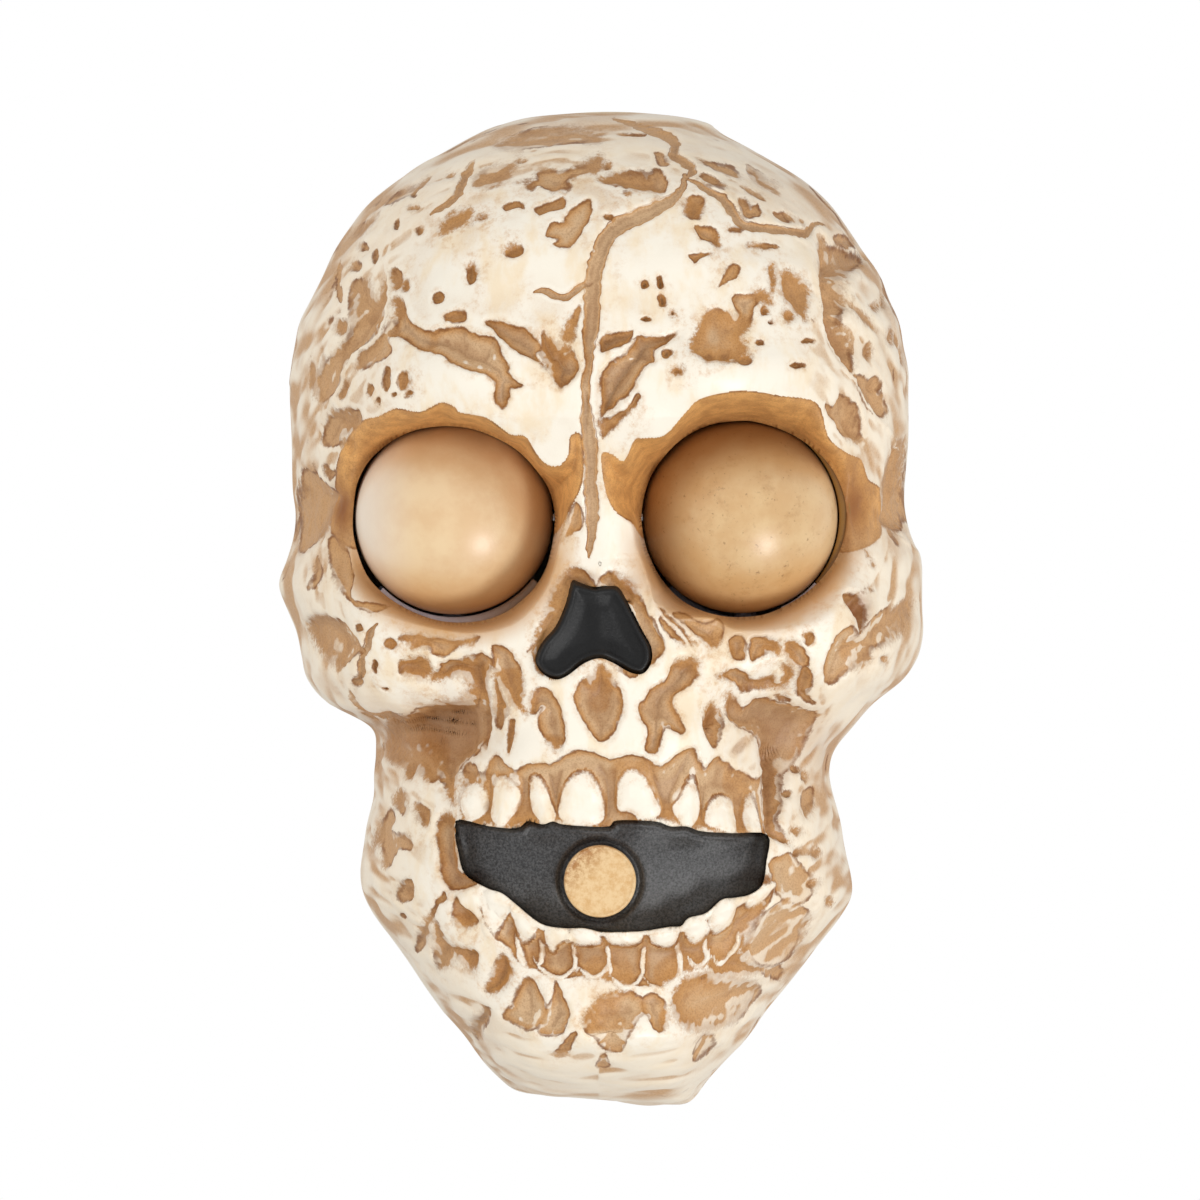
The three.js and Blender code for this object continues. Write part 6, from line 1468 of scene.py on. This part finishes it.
def plastic(name, light, dark, rough, size=0.004):
    made = Surface(name)
    gloss = made.grain(size / GLOSS_FINER, 3)
    made.set(Base_Color=made.clouded(made.grain(size), dark, light))
    made.set(Roughness=made.ramp(gloss, *BROAD_CLOUDY, rough - PLASTIC_VARIES, rough + PLASTIC_VARIES))
    made.skin()
    return made.material


# Painted light and shade on each lid, towards its edges: paler on its lit side, warmer below, darker on its
# shaded side
# and under the brow: the axis, from and to in shares of the radius from its middle, how strong, and the
# colour
LID_LIGHT_AND_SHADE = {
    "left": [
        ("X", -0.3, -1, 0.75, rgb(240, 228, 214)),
        ("Z", -0.35, -0.9, 0.4, rgb(226, 178, 112)),
        ("X", 0.62, 1, 0.35, rgb(160, 112, 66)),
        ("Z", 0.3, 1, 0.5, rgb(150, 98, 48)),
    ],
    "right": [
        ("X", 0.4, 1, 0.3, rgb(236, 204, 164)),
        ("Z", -0.2, -0.9, 0.35, rgb(214, 166, 104)),
        ("X", -0.35, -1, 0.6, rgb(138, 90, 44)),
        ("Z", 0.15, 1, 0.7, rgb(140, 92, 46)),
    ],
}
LID_BASES = {
    "left": (rgb(228, 192, 146), rgb(236, 206, 162)),
    "right": (rgb(212, 172, 120), rgb(222, 188, 138)),
}
LID_CLOUDS = 0.009
# The right lid has smudges and flecks: grains, their steps, how strong and their colours
SMUDGE_GRAIN = (0.006, 6, 0.72)
SMUDGE_STEP = (0.52, 0.72)
SMUDGE_STRENGTH = 0.4
SMUDGE_TAN = rgb(170, 120, 66)
FLECK_GRAIN = (0.0009, 3)
FLECK_STEP = (0.6, 0.72)
FLECKS_BY_SMUDGES = (0.42, 0.6, 0.15, 1)
FLECK_STRENGTH = 0.6
FLECK_BROWN = rgb(128, 82, 38)


def lid_material(name):
    made = Surface(f"{name}_lid_tan")
    middle, _, radius = LIDS[name]
    middles = {"X": to_x(middle), "Z": EYE_Z}
    base = made.clouded(made.grain(LID_CLOUDS), *LID_BASES[name])
    # Painted light and shade towards the lid's edges
    for axis, start, end, share, colour in LID_LIGHT_AND_SHADE[name]:
        at = made.times(made.minus(made.axis(axis), middles[axis]), 1 / (radius * PIXEL))
        base = made.mix(made.ramp(at, start, end, 0, share), base, colour)
    if name == "right":
        smudges = made.grain(*SMUDGE_GRAIN)
        flecks = made.ramp(made.grain(*FLECK_GRAIN), *FLECK_STEP)
        flecks = made.times(flecks, made.ramp(smudges, *FLECKS_BY_SMUDGES))
        base = made.mix(made.times(made.ramp(smudges, *SMUDGE_STEP), SMUDGE_STRENGTH), base, SMUDGE_TAN)
        base = made.mix(made.times(flecks, FLECK_STRENGTH), base, FLECK_BROWN)
    made.set(Base_Color=base, Roughness=0.36, Specular_IOR_Level=0.9)
    made.skin(3)
    return made.material


BUTTON_GRAIN = (0.0016, 6, 0.75)
BUTTON_STEP = (0.38, 0.7)
BUTTON_BUMP = 0.00005
# Painted shade at the upper left: from and to along the way up to the left, and how the specks break it up
SHADE_CORNER_REACH = (0.001, 0.011)
SHADE_CORNER_SPECKS = (0.4, 0.6, 0.1, 0.85)


def button_material():
    """Tan with brown specks, thickest at the upper left of its edge, where they paint shade."""
    made = Surface("button_tan")
    mottled = made.grain(*BUTTON_GRAIN)
    base = made.mix(made.ramp(mottled, *BUTTON_STEP), rgb(232, 200, 152), rgb(214, 170, 112))
    up_left = made.minus(made.minus(made.axis("Z"), made.axis("X")), BUTTON_Z)
    # Painted shade: brown specks gathered at the upper left of the edge
    corner = made.times(made.ramp(up_left, *SHADE_CORNER_REACH), made.ramp(mottled, *SHADE_CORNER_SPECKS))
    made.set(Base_Color=made.mix(corner, base, rgb(160, 104, 50)), Roughness=0.45)
    made.bump(mottled, BUTTON_BUMP)
    return made.material


BLACK_GRAIN = (0.0005, 4, 0.75)
BLACK_BUMP = 0.00012


def black_material(name, dark, light, rough):
    made = Surface(name)
    grit = made.grain(*BLACK_GRAIN)
    made.set(Base_Color=made.clouded(grit, dark, light), Roughness=rough)
    made.bump(grit, BLACK_BUMP)
    return made.material


ARC_BLEND = 0.016
ARC_DIRT_GRAIN = 0.002
ARC_DIRT = 0.15


def arc_material(name, left, right, middle):
    """A chassis strip's colour, from one end to the other."""
    made = Surface(name)
    base = made.mix(made.ramp(made.axis("X"), middle - ARC_BLEND, middle + ARC_BLEND), left, right)
    dirt = made.ramp(made.grain(ARC_DIRT_GRAIN), *BROAD_CLOUDY, 0, ARC_DIRT)
    made.set(Base_Color=made.mix(dirt, base, rgb(110, 90, 70)), Roughness=0.35)
    made.skin()
    return made.material


SCRATCH_GRAIN = 0.0012
SCRATCH_BUMP = 0.00002
SCRATCH_DARK = 0.72
METAL_SMOOTHER = 0.08
METAL_ROUGHER = 0.1


def metal(name, colour, rough, stretch=(1, 1, 5)):
    """Bare metal with fine scratches one way."""
    made = Surface(name)
    scratch = made.grain(SCRATCH_GRAIN, 5, place=made.stretched(*stretch))
    darker = tuple(part * SCRATCH_DARK for part in colour[:3]) + (1,)
    made.set(Base_Color=made.clouded(scratch, darker, colour), Metallic=1.0)
    made.set(Roughness=made.ramp(scratch, *BROAD_CLOUDY, rough - METAL_SMOOTHER, rough + METAL_ROUGHER))
    made.bump(scratch, SCRATCH_BUMP)
    return made.material


TRACK_GRAIN = 0.002
TRACK_STRETCH = (0.35, 1, 1.6)
TRACK_STARTS = (0.5, 0.52)
TRACK_ENDS = (0.55, 0.57)
TRACK_STRENGTH = 0.7
TRACK_BUMP = 0.00003
BOARD_CLOUDS = 0.006


def circuit(name):
    """A green board with paler tracks."""
    made = Surface(name)
    along = made.grain(TRACK_GRAIN, 0, place=made.stretched(*TRACK_STRETCH))
    tracks = made.minus(made.ramp(along, *TRACK_STARTS), made.ramp(along, *TRACK_ENDS))
    base = made.mix(made.grain(BOARD_CLOUDS, 3), rgb(24, 84, 52), rgb(34, 104, 64))
    made.set(Base_Color=made.mix(made.times(tracks, TRACK_STRENGTH), base, rgb(70, 146, 92)), Roughness=0.35)
    made.bump(tracks, TRACK_BUMP)
    return made.material


SLEEVE_BAND = (0.0105, 0.0112)
SLEEVE_CLOUDS = 0.004
SLEEVE_GLOSS_GRAIN = 0.0015
SLEEVE_GLOSS = (0.26, 0.4)
SLEEVE_GRAIN = 0.001
SLEEVE_BUMP = 0.00002


def battery_material():
    """A sleeve of graphite and copper bands along the cell."""
    made = Surface("battery_sleeve")
    sleeve = made.mix(made.grain(SLEEVE_CLOUDS, 3), rgb(44, 46, 50), rgb(58, 60, 64))
    base = made.mix(made.ramp(made.axis("X"), *SLEEVE_BAND), sleeve, rgb(196, 120, 62))
    gloss = made.ramp(made.grain(SLEEVE_GLOSS_GRAIN), *BROAD_CLOUDY, *SLEEVE_GLOSS)
    made.set(Base_Color=base, Roughness=gloss, Metallic=0.4)
    made.bump(made.grain(SLEEVE_GRAIN, 3), SLEEVE_BUMP)
    return made.material


VEIN_GRAIN = (0.004, 6)
VEIN_STARTS = (0.485, 0.5)
VEIN_ENDS = (0.5, 0.515)
# The veins grow stronger from the front of the eye backwards
VEIN_REACH = (-0.054, -0.044, 0.05, 0.7)
EYE_CLOUDS = 0.008


def eyeball_material():
    """White, with fine red veins that thin out towards the front."""
    made = Surface("eyeball_white")
    veins = made.grain(*VEIN_GRAIN)
    thread = made.minus(made.ramp(veins, *VEIN_STARTS), made.ramp(veins, *VEIN_ENDS))
    thread = made.times(thread, made.ramp(made.axis("Y"), *VEIN_REACH))
    base = made.mix(made.grain(EYE_CLOUDS, 3), rgb(246, 240, 230), rgb(236, 226, 212))
    made.set(Base_Color=made.mix(thread, base, rgb(178, 60, 44)), Roughness=0.18)
    return made.material


RAY_COUNT = 46
RAY_GRAIN = 0.0008
RAY_STEP = (-0.6, 1.6)
# The iris turns dark towards its edge, and into the pupil: distances from its middle
IRIS_RIM = (0.0062, 0.0076)
PUPIL_EDGE = (0.0034, 0.003)


def iris_material(name, middle):
    """Dark pupil, red rays and a dark rim, by distance from the middle of the eye."""
    made = Surface(name)
    x = made.minus(made.axis("X"), middle)
    z = made.minus(made.axis("Z"), EYE_Z)
    away = made.sum(made.sum(made.times(x, x), made.times(z, z)), 0.5, "POWER")
    rays = made.sum(made.times(made.sum(x, z, "ARCTAN2"), RAY_COUNT), 0, "SINE")
    rays = made.ramp(made.sum(rays, made.grain(RAY_GRAIN)), *RAY_STEP)
    base = made.mix(rays, rgb(150, 24, 14), rgb(226, 84, 30))
    base = made.mix(made.ramp(away, *IRIS_RIM), base, rgb(40, 8, 6))
    base = made.mix(made.ramp(away, *PUPIL_EDGE), base, rgb(8, 8, 9))
    made.set(Base_Color=base, Roughness=0.12)
    return made.material


# Eyes, nose, mouth and button


def ball_part(centre, radius, turns, sweep):
    """Points of a ball's surface about the axle's line: turns from straight ahead and sweeps along X."""
    turn, out = np.meshgrid(turns, sweep, indexing="ij")
    ahead = radius * np.cos(out) * np.cos(turn)
    up = radius * np.cos(out) * np.sin(turn)
    return np.stack([centre[0] + radius * np.sin(out), centre[1] - ahead, centre[2] + up], -1).reshape(-1, 3)


def eyelid(name):
    """A closed shell with its two faces and the wall round their edge."""
    across, _, pixels = LIDS[name]
    centre = (to_x(across), -EYE_DEPTH, EYE_Z)
    radius = pixels * PIXEL
    turns = np.linspace(LID_LOW, LID_HIGH, LID_STEPS)
    end = math.pi / 2 - LID_END
    sweep = np.linspace(-end, end, LID_STEPS)
    outer = ball_part(centre, radius, turns, sweep)
    inner = ball_part(centre, radius - LID_WALL, turns, sweep)
    count = len(outer)
    index = np.arange(count).reshape(LID_STEPS, LID_STEPS)
    front = sheet_quads(index)
    back = turned_over(front) + count
    rim = np.concatenate([index[0, :], index[1:, -1], index[-1, -2::-1], index[-2:0:-1, 0]])
    following = np.roll(rim, -1)
    wall = np.stack([rim, following, following + count, rim + count], -1)
    quads = np.concatenate([front, back, wall])
    made = piece(f"{name}_lid", np.concatenate([outer, inner]), quads, "eyelids", lid_material(name))
    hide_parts(f"{name}_eyelid")


def ball_profile(turns):
    """Radius and depth of an eyeball's surface at turns from straight ahead."""
    radius = np.maximum(EYEBALL_RADIUS * np.sin(turns), POINT)
    return list(zip(radius, EYE_DEPTH + EYEBALL_RADIUS * np.cos(turns)))


def eye(name, white):
    """A white ball, flat where the iris sits, and the iris."""
    x = to_x(LIDS[name][0])
    seat = math.asin(IRIS_RADIUS / EYEBALL_RADIUS)
    ball = ball_profile(np.linspace(seat, math.pi - BALL_END, BALL_STEPS))
    flat = ball[0][1] - SEAT_DEEP
    profile = [(POINT, flat), (IRIS_RADIUS * SEAT_SHARE, flat)] + ball
    made = lathe(f"{name}_ball", profile, x, EYE_Z, "case", white)
    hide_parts(f"{name}_eyeball")
    dome = ball_profile(np.linspace(0, seat * IRIS_EDGE, IRIS_STEPS))
    edge, behind = dome[-1][0], dome[-1][1] - IRIS_THICK
    red = iris_material(f"{name}_iris_red", x)
    made = lathe(f"{name}_iris_dome", dome + [(edge, behind), (POINT, behind)], x, EYE_Z, "case", red)
    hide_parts(f"{name}_iris")


# The chassis strips: name, side, from and to in degrees from straight up to the right, material, end colours
# The lilac grey is the chassis's own colour; the browns and the olive are painted shade in the deep gap
# beside the lids
ARCS = [
    ("left_arc", "left", 128, 225, "left_arc_grey", rgb(236, 230, 244), rgb(170, 138, 108)),
    ("right_arc", "right", 20, 131, "right_arc_olive", rgb(120, 84, 34), rgb(150, 106, 44)),
    ("right_arc_end", "right", 131.5, 156, "right_arc_grey", rgb(190, 160, 130), rgb(226, 216, 222)),
]


def arc(name, side, start, end, look, left, right):
    """A curved strip of the chassis that shows beside a lid."""
    across, _, pixels = LIDS[side]
    inner, outer = pixels * PIXEL + ARC_GAP, pixels * PIXEL + ARC_WIDE
    shoulder = ARC_FRONT - ARC_ROUND
    profile = [(inner, ARC_BACK), (inner, shoulder), (inner + ARC_ROUND, ARC_FRONT),
               (outer - ARC_ROUND, ARC_FRONT), (outer, shoulder), (outer, ARC_BACK)]
    radius, depth = np.array(profile).T
    turns = np.radians(np.linspace(start, end, ARC_STEPS))
    x = to_x(across) + np.sin(turns)[:, None] * radius
    z = EYE_Z + np.cos(turns)[:, None] * radius
    points = np.stack([x, np.repeat(-depth[None, :], ARC_STEPS, 0), z], -1).reshape(-1, 3)
    index = np.arange(len(points)).reshape(ARC_STEPS, len(profile))
    first, last = index[0], index[-1][::-1]
    caps = [ends[list(pick)] for ends in (first, last) for pick in ((0, 5, 4, 1), (1, 4, 3, 2))]
    material = arc_material(look, left, right, to_x(across))
    piece(name, points, np.concatenate([ring_quads(index), caps]), "case", material)


def insert(name, edge, margin, depth_at, material):
    """A plate behind an opening: its face follows a depth, and it reaches past the opening's edge."""
    line = rounded(edge)
    low = line.min(0) - margin
    high = line.max(0) + margin
    columns = np.arange(low[0], high[0], INSERT_STEP / PIXEL)
    rows = np.arange(low[1], high[1], INSERT_STEP / PIXEL)
    across, down = (values.ravel() for values in np.meshgrid(columns, rows))
    into, _, _ = signed(line, across, down)
    face = np.stack([to_x(across), -depth_at(across, down, into), to_z(down)], 1)
    count = across.size
    front = sheet_quads(np.arange(count).reshape(len(rows), len(columns)))
    front = front[(into > -margin)[front].all(1)]
    back = front[:, ::-1] + count
    edges = np.concatenate([front[:, [i, (i + 1) % 4]] for i in range(4)])
    _, first, times = np.unique(np.sort(edges, 1), axis=0, return_index=True, return_counts=True)
    border = edges[first[times == 1]]
    wall = np.stack([border[:, 1], border[:, 0], border[:, 0] + count, border[:, 1] + count], -1)
    quads = np.concatenate([front, back, wall])
    used = np.zeros(2 * count, bool)
    used[quads.ravel()] = True
    points = np.concatenate([face, face + (0, INSERT_THICK, 0)])[used]
    return piece(name, points, (np.cumsum(used) - 1)[quads], "case", material)


def insert_edge(into, fall):
    """How far an insert's face drops by its opening's edge and behind the bone."""
    return -INSERT_DIP * smooth(INSERT_DIP_IN, 0, into) - fall * smooth(*FALL_PIXELS, into)


def nose_face(across, down, into):
    leaning = across - RIDGE_ACROSS - (down - RIDGE_DOWN) * RIDGE_LEAN
    ridge = RIDGE_TALL * bell(leaning, RIDGE_WIDE) * smooth(*RIDGE_START, down)
    rim = INSERT_RIM * bell(into - INSERT_RIM_IN, NOSE_RIM_WIDE)
    bowl = -NOSE_BOWL * smooth(*NOSE_BOWL_PIXELS, into)
    return NOSE_DEPTH + ridge + rim + bowl + insert_edge(into, NOSE_FALL)


def mouth_face(across, down, into):
    waves = WAVE_TALL * np.sin(across / WAVE_ACROSS + np.sin(down / WAVE_DOWN)) * smooth(*WAVE_REACH, into)
    swell = MOUTH_SWELL * bell(across - SWELL_ACROSS, SWELL_WIDE)
    from_button = np.hypot(across - MIDDLE_ACROSS, MIDDLE_DOWN - down - BUTTON_Z / PIXEL)
    ring = -RING_DEEP * bell(from_button - BUTTON_RING, RING_WIDE)
    rim = INSERT_RIM * bell(into - INSERT_RIM_IN, MOUTH_RIM_WIDE) * smooth(*RIM_FADE, down)
    return mouth_depth(across, down) + waves + swell + ring + rim + insert_edge(into, MOUTH_FALL)


def nose(material):
    made = insert("nose", NOSE_EDGE, NOSE_MARGIN, nose_face, material)
    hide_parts("nose_insert")


def mouth(material):
    made = insert("mouth", MOUTH_EDGE, MOUTH_MARGIN, mouth_face, material)
    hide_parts("mouth_insert")


def button(material):
    profile = [(radius * MM, depth * MM) for radius, depth in BUTTON_SECTION]
    made = lathe("button", profile, 0, BUTTON_Z, "button", material)
    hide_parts("button_cap")


# The pieces in place

skull_rim(plastic("rim_tan", rgb(226, 206, 176), rgb(206, 180, 146), 0.5, 0.006))
skull()
eyeball_white = eyeball_material()
for side in LIDS:
    eyelid(side)
    eye(side, eyeball_white)
for row in ARCS:
    arc(*row)
nose(black_material("nose_black", rgb(2, 2, 3), rgb(13, 13, 14), 0.42))
mouth(black_material("mouth_black", rgb(38, 38, 39), rgb(86, 86, 87), 0.33))
button(button_material())

# Materials of the pieces that are kept as they are, by how their names start
STEEL = rgb(190, 190, 192)
LOOKS = [
    (("rear_cover", "battery_door"),
     plastic("cover_tan", rgb(226, 206, 176), rgb(214, 190, 156), 0.5, 0.006)),
    (("case_screw", "door_screw"), metal("dark_steel", rgb(112, 110, 108), 0.35)),
    (("chassis_screw", "button_screw", "board_screw", "speaker_screw"), metal("screw_steel", STEEL, 0.3)),
    (("lid_axle", "idler_pin"), metal("pin_steel", rgb(206, 206, 208), 0.22, (6, 1, 1))),
    (("lid_gear", "idler_gear"), plastic("gear_nylon", rgb(236, 232, 220), rgb(222, 216, 200), 0.4, 0.003)),
    (("motor_pinion",), metal("pinion_brass", rgb(206, 166, 88), 0.28)),
    (("lid_motor", "speaker_frame"), metal("motor_can", rgb(166, 168, 172), 0.35, (4, 1, 1))),
    (("button_spring", "positive", "negative", "left_bridge", "right_bridge"),
     metal("spring_nickel", rgb(214, 212, 204), 0.25)),
    (("main_board", "button_board"), circuit("board_green")),
    (("board_chip", "power_switch_knob"),
     plastic("black_epoxy", rgb(30, 30, 32), rgb(20, 20, 22), 0.45, 0.002)),
    (("board_capacitor",), plastic("capacitor_blue", rgb(34, 52, 96), rgb(24, 40, 78), 0.3, 0.002)),
    (("button_switch", "power_switch_body"),
     plastic("switch_grey", rgb(74, 74, 78), rgb(58, 58, 62), 0.4, 0.002)),
    (("speaker_cone",), plastic("cone_paper", rgb(62, 58, 54), rgb(42, 40, 38), 0.8, 0.0015)),
    (("battery_lead",), plastic("lead_red", rgb(176, 38, 30), rgb(156, 30, 24), 0.4, 0.002)),
    (("speaker_lead",), plastic("lead_black", rgb(36, 36, 38), rgb(26, 26, 28), 0.4, 0.002)),
    (("motor_lead",), plastic("lead_yellow", rgb(218, 180, 60), rgb(200, 160, 46), 0.4, 0.002)),
    (("button_lead",), plastic("lead_blue", rgb(52, 86, 150), rgb(42, 72, 130), 0.4, 0.002)),
    (("battery_1", "battery_2", "battery_3"), battery_material()),
    (("eye_chassis",), plastic("chassis_lilac", rgb(190, 184, 196), rgb(170, 165, 178), 0.4)),
]
for name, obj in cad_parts.items():
    obj.data.materials.clear()
    for starts, look in LOOKS:
        if name.startswith(starts):
            obj.data.materials.append(look)
            break
    else:
        obj.data.materials.append(LOOKS[-1][1])

# Camera, light and floor

CAMERA_AWAY = 4.0
CAMERA_FAR = 100
SENSOR_MM = 36
# How bright the white studio is to the skull; seen directly it is plain white
STUDIO = 0.6
# Lamps: name, direction from the skull, distance, size, power, and whether it is seen in the gloss
LAMPS = [
    ("key", (0.5, -0.75, -0.5), 1.0, 0.3, 3.4, True),
    ("left_fill", (-1, -0.7, 0.3), 1.3, 0.7, 5.6, False),
    ("right_fill", (1, -0.6, 0.5), 1.3, 0.7, 3.4, False),
]
FLOOR_CORNERS = [(-1.6, -2, -1.2), (1.6, -2, -1.2), (1.6, 0.8, -1.2), (-1.6, 0.8, -1.2)]


def camera():
    data = bpy.data.cameras.new("camera")
    made = bpy.data.objects.new("camera", data)
    bpy.context.scene.collection.objects.link(made)
    made.location = (0, -CAMERA_AWAY - EYE_DEPTH, to_z(FRAME_PIXELS / 2))
    made.rotation_euler = (math.pi / 2, 0, 0)
    data.sensor_width = SENSOR_MM
    data.lens = SENSOR_MM * CAMERA_AWAY / (FRAME_PIXELS * PIXEL)
    data.clip_end = CAMERA_FAR
    bpy.context.scene.camera = made


def lamp(name, direction, away, size, power, gloss):
    """A round soft light that faces the skull."""
    data = bpy.data.lights.new(name, "AREA")
    data.shape = "DISK"
    data.size = size
    data.energy = power
    made = bpy.data.objects.new(name, data)
    bpy.context.scene.collection.objects.link(made)
    towards = Vector(direction).normalized()
    made.location = towards * away
    made.rotation_euler = towards.to_track_quat("Z", "Y").to_euler()
    made.visible_glossy = gloss


def surroundings():
    world = bpy.data.worlds.new("white")
    world.use_nodes = True
    bpy.context.scene.world = world
    nodes, links = world.node_tree.nodes, world.node_tree.links
    back = nodes["Background"]
    back.inputs["Color"].default_value = (1, 1, 1, 1)
    strength = nodes.new("ShaderNodeMapRange")
    strength.inputs["To Min"].default_value = STUDIO
    strength.inputs["To Max"].default_value = 1.0
    links.new(nodes.new("ShaderNodeLightPath").outputs["Is Camera Ray"], strength.inputs["Value"])
    links.new(strength.outputs[0], back.inputs["Strength"])


def floor():
    white = plastic("floor", rgb(245, 245, 244), rgb(238, 238, 237), 0.6)
    made = piece("floor", FLOOR_CORNERS, [(0, 1, 2, 3)], "case", white)
    made.parent = None


camera()
for row in LAMPS:
    lamp(*row)
surroundings()
floor()
scene = bpy.context.scene
scene.view_settings.view_transform = "Standard"
scene.view_settings.look = "None"
